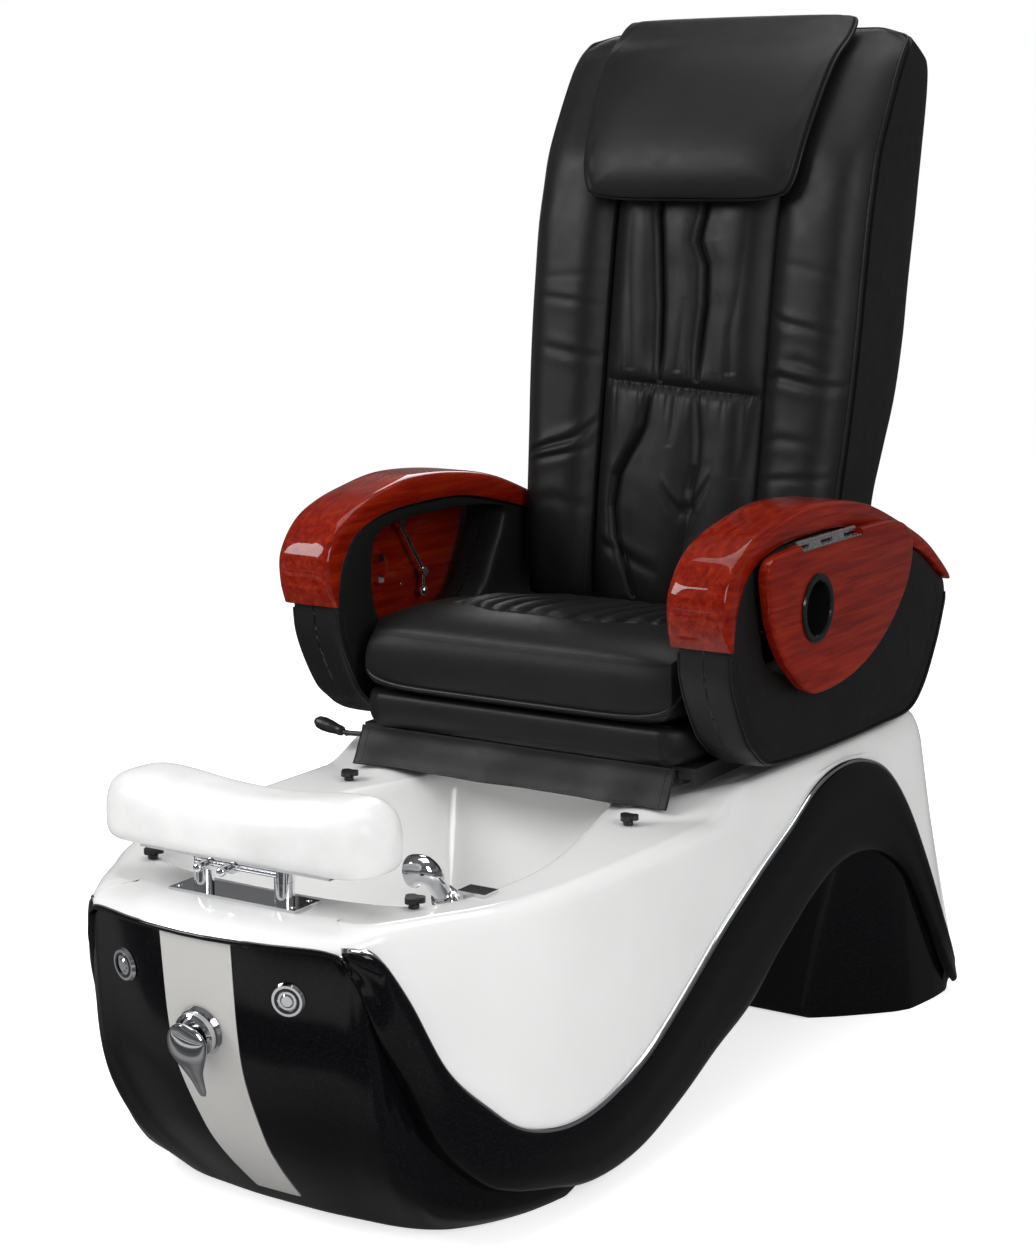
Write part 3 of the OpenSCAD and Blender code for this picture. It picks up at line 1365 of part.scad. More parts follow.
// Back face of the pillow and its thickness, from its lower to its upper edge
function pillow_rest(v) = lerp(-38, -13.5, smooth((v + 0.4) / 1.3));
function pillow_t(v) = lerp(46, 30, smooth((v + 0.2) / 1.2));
function pillow_x(u, v) =
  u * (lerp(188, pillow_w / 2, smooth((v + 1) / 1.6)) - 14 * pow(abs(v), 8));
function pillow_s(u, v) = lerp(pillow_s0, pillow_s1, (v * (1 - 0.07 * pow(abs(u), 6)) + 1) / 2);
function pillow_front(i, j) =
  let (u = share(i, pillow_nx), v = share(j, pillow_ny), e = max(pow(abs(u), 4), pow(abs(v), 5)))
  back_raw(pillow_x(u, v) * 0.985, pillow_rest(v) - pillow_t(v) * lerp(1, 0.55, e),
    pillow_s(u, v * 0.985));
// Overall height: the upper edge of the pillow as drawn
top_drawn = max([for (j = [pillow_ny - 3:pillow_ny - 1]) for (i = [0:pillow_nx - 1])
  pillow_front(i, j)[2]]);
kz = chair_h / top_drawn;
module head_pillow() {
  top = [for (j = [0:pillow_ny - 1]) [for (i = [0:pillow_nx - 1]) S(pillow_front(i, j))]];
  rings = [for (r = [[0.35, 1], [0.06, 0.975], [0, 0.9]])
    [for (e = slab_edge(pillow_nx, pillow_ny))
      let (u = share(e[0], pillow_nx), v = share(e[1], pillow_ny))
      back_pt(pillow_x(u, v) * r[1], pillow_rest(v) - pillow_t(v) * r[0], pillow_s(u, v * r[1]))]];
  color(leather)
    place()
      slab(top, rings);
}

// ---------- the assembly ----------
tub_shell();
front_hull();
front_stripe();
side_band_left();
side_band_right();
rear_pedestal();
trim_left();
trim_right();
drain_fitting();
shower_holder();
hand_shower();
footrest_plate();
footrest_carriage();
footrest_pad();
lock_pin_left();
lock_pin_right();
button_bezels();
button_left();
button_right();
mixer_escutcheon();
mixer_hub();
mixer_lever();
thumbscrew_front_left();
thumbscrew_front_right();
thumbscrew_rear_left();
thumbscrew_rear_right();
slide_rails();
seat_frame();
seat_cushion();
valance_roll();
skirt_flap();
slide_lever();
lever_grip();
arm_body_left();
arm_body_right();
arm_cap_left();
arm_cap_right();
tray_left();
tray_right();
cup_holder_right();
tray_hinge_left();
tray_hinge_right();
tray_leaf_left();
tray_leaf_right();
tray_lugs_left();
tray_lugs_right();
stay_bracket_left();
stay_bracket_right();
stay_link_left();
stay_link_right();
back_frame();
back_shell();
back_bolsters();
back_centre();
head_pillow();
recline_actuator();
actuator_rod();
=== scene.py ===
import json
import math

import bmesh
import bpy
import numpy as np
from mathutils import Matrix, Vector


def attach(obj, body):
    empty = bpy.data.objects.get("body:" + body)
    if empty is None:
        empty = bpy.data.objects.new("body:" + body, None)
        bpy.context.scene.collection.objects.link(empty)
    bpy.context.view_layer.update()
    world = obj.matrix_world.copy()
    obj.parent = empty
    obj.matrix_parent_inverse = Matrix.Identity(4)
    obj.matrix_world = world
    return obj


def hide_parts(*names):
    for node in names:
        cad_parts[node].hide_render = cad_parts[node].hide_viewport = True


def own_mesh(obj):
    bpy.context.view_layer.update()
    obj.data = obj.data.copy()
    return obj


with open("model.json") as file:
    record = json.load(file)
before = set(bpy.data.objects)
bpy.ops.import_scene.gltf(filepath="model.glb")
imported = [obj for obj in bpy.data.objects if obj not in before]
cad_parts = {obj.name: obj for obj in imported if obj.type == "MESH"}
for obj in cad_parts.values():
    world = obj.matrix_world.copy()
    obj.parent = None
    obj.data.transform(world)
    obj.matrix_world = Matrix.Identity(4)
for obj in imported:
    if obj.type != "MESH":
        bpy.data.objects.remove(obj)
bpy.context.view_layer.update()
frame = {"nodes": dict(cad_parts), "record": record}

nodes = frame["nodes"]
rng = np.random.default_rng(7)

# ---------------------------------------------------------------- the part's own measures, in mm
KX, KY, KZ, DY = 1.00787, 0.996799, 1.00451, 6.24203   # drawn to real size, and the shift along Y
DECK, PLATFORM = 440.0, 475.0                          # deck at the front, platform under the seat
BASIN_DEPTH, BAND_PROUD, TRIM_H = 265.0, 10.0, 6.0
SIDES = ((-1, "left"), (1, "right"))
MIRROR = np.array([-1.0, 1, 1])
TURN = 2 * np.pi


# ---------------------------------------------------------------- curves and noise
def xyz(*parts):
    """Points from separate coordinates, the shorter ones spread over the longest."""
    return np.stack(np.broadcast_arrays(*[np.asarray(v, float) for v in parts]), -1)


def to_m(p):
    """Drawn millimetres to metres in the row frame."""
    return xyz(p[..., 0] * KX, p[..., 1] * KY + DY, p[..., 2] * KZ) / 1000.0


def on_side(p, side):
    return p * np.array([side, 1.0, 1])


def lerp(a, b, t):
    return a + (b - a) * t


def smooth(t):
    c = np.clip(t, 0, 1)
    return c * c * (3 - 2 * c)


def bell(t, power=2):
    return np.exp(-np.abs(t) ** power)


def spl(c, u):
    """Catmull-Rom through the rows of c at u, counted in rows."""
    c, u = np.asarray(c, float), np.asarray(u, float)
    n = len(c) - 1
    i = np.clip(np.floor(u).astype(int), 0, n - 1)
    s = (u - i)[..., None]
    p0, p1, p2, p3 = c[np.maximum(i - 1, 0)], c[i], c[i + 1], c[np.minimum(i + 2, n)]
    return 0.5 * (2 * p1 + (p2 - p0) * s + (2 * p0 - 5 * p1 + 4 * p2 - p3) * s * s
                  + (3 * p1 - p0 - 3 * p2 + p3) * s ** 3)


def spl_closed(c, u):
    return spl(np.vstack([c, c[:1]]), u)


def unit(v):
    return v / np.maximum(np.linalg.norm(v, axis=-1, keepdims=True), 1e-9)


def noise1(x, seed=0, octaves=3):
    """Smooth repeatable noise of one variable, about -1..1."""
    r = np.random.default_rng(seed)
    x = np.asarray(x, float)
    out = np.zeros_like(x)
    for k in range(octaves):
        t = r.uniform(-1, 1, 256)
        f = x * 2 ** k
        i = np.floor(f).astype(int)
        s = smooth(f - i)
        out += (t[i % 256] * (1 - s) + t[(i + 1) % 256] * s) / 2 ** k
    return out / 1.5


def noise2(x, y, seed=0, octaves=3):
    """The same of two variables."""
    r = np.random.default_rng(seed)
    out = np.zeros(np.broadcast(x, y).shape)
    for k in range(octaves):
        t = r.uniform(-1, 1, (64, 64))
        fx, fy = np.asarray(x) * 2 ** k, np.asarray(y) * 2 ** k
        i, j = np.floor(fx).astype(int), np.floor(fy).astype(int)
        a, b = smooth(fx - i), smooth(fy - j)
        row = [t[i % 64, c % 64] * (1 - a) + t[(i + 1) % 64, c % 64] * a for c in (j, j + 1)]
        out += (row[0] * (1 - b) + row[1] * b) / 2 ** k
    return out / 1.5


def chaikin(p, times=2, closed=False):
    """Rounds a polyline by cutting its corners."""
    p = np.asarray(p, float)
    for _ in range(times):
        a, b = (p, np.roll(p, -1, 0)) if closed else (p[:-1], p[1:])
        cut_ends = np.stack([0.75 * a + 0.25 * b, 0.25 * a + 0.75 * b], 1).reshape((-1,) + p.shape[1:])
        p = cut_ends if closed else np.concatenate([p[:1], cut_ends, p[-1:]])
    return p


def blur(p, axis, times):
    """Takes small steps out of a path or surface along an axis, keeping its ends."""
    p = np.moveaxis(p, axis, 0).copy()
    for _ in range(times):
        p[1:-1] = 0.25 * p[:-2] + 0.5 * p[1:-1] + 0.25 * p[2:]
    return np.moveaxis(p, 0, axis)


def distance(path):
    return np.r_[0, np.cumsum(np.linalg.norm(np.diff(path, axis=0), axis=1))]


def resample(path, n):
    d = distance(path)
    t = np.linspace(0, d[-1], n)
    return np.stack([np.interp(t, d, c) for c in path.T], -1)


def circle(n):
    return np.linspace(0, TURN, n, endpoint=False)


def grid(nu, nv, ease_u=0.0, ease_v=0.0):
    """u and v from -1 to 1; ease packs the lines toward the ends."""
    u, v = np.meshgrid(np.linspace(-1, 1, nu), np.linspace(-1, 1, nv))
    return [ease * np.sin(t * np.pi / 2) + (1 - ease) * t for t, ease in ((u, ease_u), (v, ease_v))]


def perimeter(g):
    """The border of a grid, once round."""
    ny, nx = g.shape[:2]
    return np.concatenate([g[0], g[1:, nx - 1], g[ny - 1, nx - 2::-1], g[ny - 2:0:-1, 0]])


# ---------------------------------------------------------------- meshes
def make(name, verts, faces, material, body, replaces=(), angle=None, fix=True):
    """A piece that rides on body and carries its material."""
    me = bpy.data.meshes.new(name)
    me.from_pydata(np.asarray(verts, float).reshape(-1, 3).tolist(), [], [tuple(map(int, f)) for f in faces])
    me.update()
    if fix:
        bm = bmesh.new()
        bm.from_mesh(me)
        bmesh.ops.remove_doubles(bm, verts=bm.verts, dist=2e-6)
        bmesh.ops.recalc_face_normals(bm, faces=bm.faces)
        bm.to_mesh(me)
        bm.free()
    me.shade_smooth()
    if angle is not None:
        me.set_sharp_from_angle(angle=math.radians(angle))
    o = bpy.data.objects.new(name, me)
    bpy.context.scene.collection.objects.link(o)
    me.materials.append(material)
    if body:
        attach(o, body)
    if replaces:
        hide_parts(*replaces)
    return o


def grid_faces(nr, n, closed=True, offset=0):
    ids = [[offset + k * n + j % n for j in range(n + 1 if closed else n)] for k in range(nr)]
    return [(a[j], a[j + 1], b[j + 1], b[j]) for a, b in zip(ids, ids[1:]) for j in range(len(a) - 1)]


def loft(name, rings, material, body, replaces=(), caps=True, angle=None, loop=False):
    """Skin over rings of equal length, in metres. Strip caps suit rings that are mirrored halves."""
    rings = np.asarray(rings, float)
    nr, n = rings.shape[:2]
    last = (nr - 1) * n
    faces = grid_faces(nr, n)
    if loop:
        faces += [(last + j, last + (j + 1) % n, (j + 1) % n, j) for j in range(n)]
    elif caps == "strip":
        for f0 in (0, last):
            faces += [(f0 + j, f0 + j + 1, f0 + n - 2 - j, f0 + n - 1 - j) for j in range(n // 2 - 1)]
    elif caps:
        faces += [range(n), range(last, last + n)]
    return make(name, rings, faces, material, body, replaces, angle)


def tube(name, path, radius, material, body, sides=10, closed=False):
    """Round tube along a path."""
    ahead = np.roll(path, -1, 0) - np.roll(path, 1, 0) if closed else np.gradient(path, axis=0)
    rings, w = [], circle(sides)
    t = unit(ahead)
    a = unit(np.cross(t[0], [0, 0, 1.0] if abs(t[0][2]) < 0.9 else [1.0, 0, 0]))
    for p, d in zip(path, t):
        a = unit(a - d * (a @ d))
        rings.append(p + radius * (np.cos(w)[:, None] * a + np.sin(w)[:, None] * np.cross(d, a)))
    return loft(name, rings, material, body, caps=not closed, loop=closed)


def stitches(name, path, body, pitch=0.0066, length=0.0042, radius=0.0005):
    """Row of short raised stitches along a path."""
    d = distance(path)
    verts, faces, w = [], [], circle(6)[:, None]
    for i in range(max(1, int(d[-1] / pitch))):
        s0 = (i + 0.5) * pitch - length / 2
        c = np.stack([np.interp(s0 + length * np.array([0, 0.25, 0.75, 1]), d, q) for q in path.T], -1)
        t = unit(c[3] - c[0])
        a = unit(np.cross(t, [0, 0, 1.0]) + 1e-6)
        verts += [q + radius * r * (np.cos(w) * a + np.sin(w) * np.cross(t, a))
                  for q, r in zip(c, (0.35, 1, 1, 0.35))]
        faces += grid_faces(4, 6, True, 24 * i) + [range(24 * i, 24 * i + 6), range(24 * i + 18, 24 * i + 24)]
    return make(name, verts, faces, THREAD, body, fix=False)


def slab(name, top, mids, bottom, body, replaces, times=1):
    """Closed cushion: a top grid, rings down its sides and a bottom grid."""
    ny, nx = top.shape[:2]
    rings = chaikin([perimeter(top)] + list(mids) + [perimeter(bottom)], times)[1:-1]
    nr, n = rings.shape[:2]
    low = nx * ny + nr * n
    edge = perimeter(np.arange(nx * ny).reshape(ny, nx, 1))[:, 0]
    seq = [edge] + [nx * ny + k * n + np.arange(n) for k in range(nr)] + [low + edge]
    faces = grid_faces(ny, nx, False) + [f[::-1] for f in grid_faces(ny, nx, False, low)]
    for a, b in zip(seq[:-1], seq[1:]):
        faces += [(a[j], b[j], b[(j + 1) % n], a[(j + 1) % n]) for j in range(n)]
    o = make(name, np.concatenate([p.reshape(-1, 3) for p in (top, rings, bottom)]), faces, LEATHER, body, replaces)
    return o


# ---------------------------------------------------------------- shader nodes
def node(nt, kind, sockets={}, **attrs):
    """A node with its attributes set, and its sockets given values or linked."""
    n = nt.nodes.new("ShaderNode" + kind)
    for k, v in attrs.items():
        setattr(n, k, v)
    for k, v in sockets.items():
        if isinstance(v, bpy.types.NodeSocket):
            nt.links.new(v, n.inputs[k])
        else:
            n.inputs[k].default_value = (*v, 1) if n.inputs[k].type == "RGBA" else v
    return n


def coords(nt, scale=(1, 1, 1)):
    return node(nt, "Mapping", {"Vector": node(nt, "TexCoord").outputs["Object"], "Scale": scale}).outputs[0]


def ramp(nt, fac, stops):
    r = node(nt, "ValToRGB", {"Fac": fac})
    e = r.color_ramp.elements
    for k, (p, c) in ((0, stops[0]), (1, stops[-1])):
        e[k].position, e[k].color = p, (*c, 1)
    for p, c in stops[1:-1]:
        e.new(p).color = (*c, 1)
    return r.outputs["Color"]


def mix(nt, a, b, fac, kind="MIX"):
    return node(nt, "Mix", {"Factor": fac, "A": a, "B": b}, data_type="RGBA", blend_type=kind).outputs["Result"]


def math_node(nt, operation, *values):
    m = node(nt, "Math", operation=operation)
    for s, v in zip(m.inputs, values):
        if isinstance(v, bpy.types.NodeSocket):
            nt.links.new(v, s)
        else:
            s.default_value = v
    return m.outputs[0]


def noise(nt, vec, scale, detail=3.0, rough=0.5, dist=0.0):
    return node(nt, "TexNoise", {"Vector": vec, "Scale": scale, "Detail": detail, "Roughness": rough,
                                 "Distortion": dist}).outputs["Fac"]


def voronoi(nt, vec, scale, out, feature="F1"):
    return node(nt, "TexVoronoi", {"Vector": vec, "Scale": scale}, feature=feature).outputs[out]


def remap(nt, v, a, b, lo, hi):
    return node(nt, "MapRange", {"Value": v, "From Min": a, "From Max": b, "To Min": lo, "To Max": hi}).outputs[0]


def bump(nt, bsdf, height, strength, distance_m, under=None):
    b = node(nt, "Bump", {"Strength": strength, "Distance": distance_m, "Height": height})
    if under is not None:
        nt.links.new(under, b.inputs["Normal"])
    nt.links.new(b.outputs["Normal"], bsdf.inputs["Normal"])
    return b.outputs["Normal"]


# ---------------------------------------------------------------- materials
slot_of = {}


def principled(name, slot, constants):
    """New material for a slot of the record: itself, its node tree and its shader."""
    m = bpy.data.materials.new(name)
    m.use_nodes = True
    b = m.node_tree.nodes["Principled BSDF"]
    for k, v in constants.items():
        b.inputs[k].default_value = v
    slot_of[m.name] = slot
    return m, m.node_tree, b


def coated(name, slot, color, rough, dark=0.95, tint=(60, 3), sheen=(220, 2), grain=None, stretch=(1, 1, 1), **k):
    """Plain moulded, plated or sprayed finish. tint and sheen are the scale and detail of the noise
    that moves the colour between dark * color and color, and the roughness; grain is a bump's
    (scale, detail, strength, distance)."""
    m, nt, b = principled(name, slot, {s.replace("_", " "): v for s, v in k.items()})
    v = coords(nt, stretch)
    low = tuple(c * dark for c in color) if isinstance(dark, float) else dark
    nt.links.new(ramp(nt, noise(nt, v, *tint), [(0.3, low), (0.7, color)]), b.inputs["Base Color"])
    nt.links.new(remap(nt, noise(nt, v, *sheen), 0.3, 0.7, *rough), b.inputs["Roughness"])
    if grain:
        bump(nt, b, noise(nt, v, *grain[:2]), *grain[2:])
    return m


def chrome(name, slot, rough, color):
    return coated(name, slot, color, (rough * 0.7, rough * 1.5), Metallic=1.0)


def plastic(name, slot, shade, rough=0.38, grain=0.08):
    return coated(name, slot, shade, (rough * 0.85, rough * 1.15), 0.8, (30, 2), (500, 2),
                  (500, 2, grain, 0.0004))


def black_gloss():
    """Black gelcoat with sparse fine flakes under its clear coat."""
    m, nt, b = principled("black_gelcoat", "black_gloss", {
        "Specular IOR Level": 0.10, "Coat Weight": 0.4, "Coat Roughness": 0.03})
    v = coords(nt)
    red = node(nt, "SeparateColor", {"Color": voronoi(nt, v, 1400, "Color")}).outputs["Red"]
    flake = remap(nt, red, 0.90, 1.0, 0.0, 1.0)
    nt.links.new(mix(nt, (0.0022, 0.0022, 0.0028), (0.016, 0.016, 0.019), flake), b.inputs["Base Color"])
    nt.links.new(remap(nt, noise(nt, v, 10, 2), 0.3, 0.7, 0.07, 0.12), b.inputs["Roughness"])
    bump(nt, b, noise(nt, v, 22, 1), 0.04, 0.002)
    return m


def leather(name, slot, base, rough, grain=0.22):
    """Coated hide: cells with fine creases between them, over a softer unevenness."""
    m, nt, b = principled(name, slot, {"Specular IOR Level": 0.22})
    v = coords(nt)
    cells = remap(nt, voronoi(nt, v, 620, "Distance", "DISTANCE_TO_EDGE"), 0.0, 0.25, 0.0, 1.0)
    nt.links.new(ramp(nt, noise(nt, v, 9, 4), [(0.3, tuple(c * 0.78 for c in base)), (0.7, base)]),
                 b.inputs["Base Color"])
    span = rough[1] - rough[0]
    nt.links.new(math_node(nt, "MULTIPLY_ADD", noise(nt, v, 45, 3), span * 1.6, rough[0] - 0.3 * span),
                 b.inputs["Roughness"])
    bump(nt, b, cells, grain, 0.00035, bump(nt, b, noise(nt, v, 240, 3), 0.10, 0.0006))
    return m


def varnished_wood():
    """Red-brown wood, its grain along Y, under a clear varnish."""
    m, nt, b = principled("cherry_varnish", "wood_red", {
        "Roughness": 0.45, "Specular IOR Level": 0.03, "Coat IOR": 1.32, "Coat Weight": 1.0,
        "Coat Roughness": 0.035})
    grain = ramp(nt, noise(nt, coords(nt, (1, 0.06, 1)), 110, 6, 0.62, 0.4), [
        (0.30, (0.125, 0.0028, 0.0006)), (0.5, (0.20, 0.0085, 0.0014)), (0.70, (0.285, 0.021, 0.003))])
    cloud = ramp(nt, noise(nt, coords(nt, (1, 0.25, 1)), 5, 2, 0.5, 0.8), [
        (0.25, (0.72, 0.62, 0.6)), (0.75, (1.0, 1.0, 1.0))])
    nt.links.new(mix(nt, grain, cloud, 1.0, "MULTIPLY"), b.inputs["Base Color"])
    bump(nt, b, noise(nt, coords(nt), 16, 1), 0.05, 0.002)
    return m


WHITE = coated("white_gelcoat", "white_shell", (0.86, 0.86, 0.855), (0.13, 0.2), (0.80, 0.80, 0.795),
               (4, 4), (14, 2), (26, 1, 0.05, 0.002), Coat_Weight=0.35, Coat_Roughness=0.06)
BLACK = black_gloss()
SILVER = coated("silver_panel", "silver_panel", (0.63, 0.62, 0.60), (0.36, 0.42), (0.60, 0.59, 0.57),
                (3, 2), (140, 2), stretch=(1, 1, 0.5), Metallic=0.12, Coat_Weight=0.25, Coat_Roughness=0.2)
CHROME = chrome("chrome_plate", "chrome", 0.06, (0.80, 0.81, 0.83))
SATIN = chrome("satin_nickel", "steel", 0.24, (0.78, 0.78, 0.79))
LEATHER = leather("black_leather", "leather_black", (0.0100, 0.0097, 0.0098), (0.36, 0.48))
PIPING = leather("black_piping", "leather_black", (0.011, 0.011, 0.012), (0.26, 0.34), 0.12)
VINYL = leather("white_vinyl", "vinyl_white", (0.86, 0.86, 0.855), (0.2, 0.28), 0.06)
WOOD = varnished_wood()
PLASTIC = plastic("black_moulding", "black_plastic", (0.012, 0.012, 0.012))
CUP = plastic("black_gloss_cup", "black_plastic", (0.006, 0.006, 0.007), 0.12, 0.02)
INK = plastic("dark_ring", "black_plastic", (0.015, 0.015, 0.017), 0.2, 0.02)
THREAD = plastic("black_thread", "leather_black", (0.02, 0.02, 0.021), 0.6, 0.2)
POWDER = plastic("black_powder_coat", "dark_steel", (0.02, 0.02, 0.021), 0.45, 0.15)
ZINC = coated("zinc_steel", "steel", (0.5, 0.5, 0.52), (0.35 * 0.8, 0.35 * 1.2), 0.85, (400, 3), (400, 3),
              (400, 3, 0.05, 0.0004), (1, 0.08, 1), Metallic=0.9)

by_slot = {slot_of[m.name]: m for m in (WHITE, BLACK, SILVER, CHROME, LEATHER, VINYL, WOOD, PLASTIC, POWDER, ZINC)}
finish = {s["node"]: by_slot[s["material_slot"]] for s in frame["record"]["subparts"]}
finish["cup_holder_right"] = CUP
for _, nm in SIDES:
    finish["tray_hinge_" + nm] = finish["tray_leaf_" + nm] = SATIN
for name, m in finish.items():
    if name in nodes:
        nodes[name].data.materials.clear()
        nodes[name].data.materials.append(m)

# ---------------------------------------------------------------- outlines of the base, right half
# plan of the tub from toe to rear: x, y at the deck, then x, y where the same wall would meet the floor
tub_rows = np.array([
    [20, -776, 20, -776], [100, -767, 102, -768], [180, -742, 186, -747], [205, -722, 222, -731],
    [220, -698, 244, -710], [238, -665, 264, -677], [260, -622, 286, -632], [288, -572, 308, -579],
    [308, -522, 324, -527], [325, -445, 338, -447], [333, -355, 345, -355], [337, -252, 348, -252],
    [339, -150, 350, -150], [340, -50, 353, -50], [342, 50, 356, 50], [346, 150, 360, 150],
    [350, 240, 364, 240], [353, 320, 367, 320], [355, 400, 371, 402], [356, 480, 377, 484],
    [356, 550, 387, 556], [354, 605, 397, 615], [348, 636, 404, 655], [336, 648, 402, 694],
    [312, 652, 378, 716], [160, 653, 172, 722], [20, 654, 20, 723]], float)
# the wave at the same rows: upper edge, lower edge, seam under the band, tuck of the lower edge
wave_rows = np.array([
    [420, 420, 420, 0], [420, 420, 420, 0], [420, 414, 417, 0], [418, 372, 396, 0],
    [406, 302, 354, 10], [348, 229, 290, 26], [252, 133, 195, 40], [192, 78, 138, 42],
    [152, 55, 104, 40], [133, 37, 84, 36], [141, 20, 78, 30], [174, 29, 98, 22],
    [227, 66, 142, 15], [285, 112, 196, 11], [338, 150, 246, 10], [386, 213, 300, 8],
    [433, 263, 348, 7], [450, 292, 372, 6], [443, 297, 372, 5], [411, 276, 344, 3],
    [340, 224, 284, 1], [238, 128, 186, 0], [140, 50, 96, 0], [62, 12, 34, 0],
    [36, 4, 26, 0], [34, 4, 26, 0], [34, 4, 26, 0]], float)
basin_rows = np.array([
    [20, -616], [92, -613], [150, -604], [185, -592], [206, -575], [221, -552], [231, -522],
    [238, -480], [241, -430], [240, -375], [232, -320], [219, -262], [203, -200], [187, -140],
    [170, -85], [158, -40], [148, -8], [138, 14], [126, 28], [112, 37], [95, 43], [75, 47],
    [58, 49], [44, 50], [30, 50.5], [18, 51], [8, 51]], float)
# where the hull meets the floor
foot_rows = np.array([
    [12, -585], [60, -584], [118, -578], [150, -574], [178, -567], [202, -556], [222, -541],
    [243, -514], [262, -480], [279, -436], [292, -372], [298, -300], [304, -180], [308, -60],
    [312, 50], [318, 150], [324, 240], [328, 320], [330, 400]], float)
ROWS = len(tub_rows)
BASIN_MID = np.array([0.0, -330.0])
TRIM_HALF = TRIM_H / 2


def deck_at(y):
    """The deck's height: it climbs to the platform ahead of the seat."""
    return lerp(DECK, PLATFORM, smooth((y + 50) / 110))


def wall_dir(u):
    """Outward direction of the wall, in plan."""
    a, b = spl(tub_rows, np.maximum(u - 0.25, 0)), spl(tub_rows, np.minimum(u + 0.25, ROWS - 1))
    t = unit((b - a)[..., :2])
    return xyz(t[..., 1], -t[..., 0])


def wall(u, z, out):
    """Point of the wall at row u and height z, moved outward."""
    u = np.asarray(u, float)
    z = np.broadcast_to(np.asarray(z, float), u.shape)
    r = spl(tub_rows, u)
    h = deck_at(r[..., 1])
    q = lerp(r[..., :2], r[..., 2:], ((h - z) / h)[..., None])
    q = q + wall_dir(u) * np.broadcast_to(np.asarray(out, float), u.shape)[..., None]
    return np.concatenate([q, z[..., None]], -1)


def toward(u, p, z, d):
    """Plan point p of the wall moved inward by d, at height z."""
    n = wall_dir(u)
    return xyz(p[:, 0] - n[..., 0] * d, p[:, 1] - n[..., 1] * d, z)


def basin(u, z, grow, shrink):
    """Point of the basin's outline, shrunk about its middle and then grown outward."""
    v = spl(basin_rows, u) - BASIN_MID
    q = BASIN_MID + v * shrink + unit(v) * grow
    return xyz(q[..., 0], q[..., 1], z)


def mirrored(half):
    """Closed ring from a right half, front to rear, and its mirror image, along axis -2."""
    return np.concatenate([half, half[..., ::-1, :] * MIRROR], -2)


# ---------------------------------------------------------------- white tub shell
us = np.linspace(0, ROWS - 1, 313)
basin_top = deck_at(spl(basin_rows, us)[:, 1])
basin_low = DECK - BASIN_DEPTH
plan = spl(tub_rows, us)
deck = deck_at(plan[:, 1])
upper, seam = spl(wave_rows, us)[:, 0], spl(wave_rows, us)[:, 2]
lip = lerp(60, 13, smooth((us - 1.2) / 3.6))
lip_low = np.minimum(420, deck - 16)
skirt_top = np.maximum(lip_low, upper)
hidden_edge = np.minimum(lip_low - 3, upper - 0.5)
half_down = lerp(upper, seam, 0.5) - 0.7
knee = wall(us, lerp(deck, lip_low, 0.5), 0)
shoulder = wall(us, lerp(deck, skirt_top, 0.72), 0)
shoulder[:, :2] -= wall_dir(us) * (lip * 0.08)[:, None]
# from the middle of the basin's floor, up over the deck and down to the seam
shown = [basin(us, basin_low + z, 0, k) for z, k in (
    (-1, 0.30), (0, 0.50), (3, 0.58), (14, 0.675), (34, 0.735), (62, 0.79))]
shown += [basin(us, lerp(basin_low, basin_top, 0.6), 0, 0.91)]
shown += [basin(us, basin_top + z, grow, k) for z, grow, k in (
    (-36, 0, 0.972), (-16, 0, 0.988), (-5, 3, 1), (-0.6, 9, 1), (0, 17, 1))]
shown += [toward(us, plan, deck + z, d) for z, d in ((0, lip + 14), (0, lip + 6), (-2.5, lip * 0.72 + 1))]
shown += [toward(us, knee, lerp(deck, lip_low, 0.42), lip * 0.3), shoulder, wall(us, skirt_top, 0),
          wall(us, hidden_edge, 0), wall(us, half_down, 0), wall(us, seam - 1, 0)]
# inner side of the shell, so that it is closed below the deck as well
within = [wall(us, seam - 1, -3.5), wall(us, half_down, -3.5), wall(us, hidden_edge, -4),
          toward(us, plan, deck - 9, lip + 12), basin(us, basin_top - 9, 24, 1),
          basin(us, basin_top - 20, 7, 0.99), basin(us, lerp(basin_low, basin_top, 0.6), 5, 0.91),
          basin(us, basin_low + 62, 5, 0.79), basin(us, basin_low + 12, 5, 0.68), basin(us, basin_low - 5, 0, 0.5)]
loft("tub_shell_skin", to_m(mirrored(np.concatenate([chaikin(shown), within]))), WHITE, "base", ("tub_shell",))

# ---------------------------------------------------------------- black hull
# how far the hull has curved in toward its foot, by the share of the way down
belly_down = [0, 0.155, 0.276, 0.417, 0.529, 0.714, 0.833, 1]
belly_in = [0, 0.03, 0.055, 0.11, 0.216, 0.433, 0.65, 1]
under_rows = [0] * 11 + [36, 76, 122, 160, 223, 273, 290, 300]
CORNER = 2.2                                           # row at which the toe turns into the side


def under(u):
    return np.interp(u, range(19), under_rows)


def edge_z(u):
    """Height at which the hull leaves the wall and starts to curve in."""
    r = spl(wave_rows, u)
    b = under(u)
    return np.maximum(r[..., 1], b + 0.35 * (r[..., 2] - b))


def ledge_z(u):
    r = spl(wave_rows, u)
    e = np.minimum(14, (r[..., 0] - TRIM_HALF - r[..., 1]) * 0.4)
    return np.where(u < CORNER, edge_z(u), np.minimum(np.maximum(edge_z(u), r[..., 1] + e + 2), r[..., 2] - 5))


def hull_step(u):
    """How far the hull stands in behind the band, measured along x."""
    r = spl(wave_rows, u)
    at_0, at_1, foot = (p[..., 0] for p in (wall(u, r[..., 2], 0), wall(u, r[..., 2], 1), spl(foot_rows, u)))
    tuck = r[..., 3] * smooth((u - 2.3) / 1.2) + lerp(-2.5, 17.0, smooth((u - 7) / 4))
    return np.maximum(1.5, np.minimum(tuck / np.maximum(0.5, at_1 - at_0), 1.05 * (at_0 - foot)))


def round_corner(u):
    return smooth((u - 1.9) / 0.9)


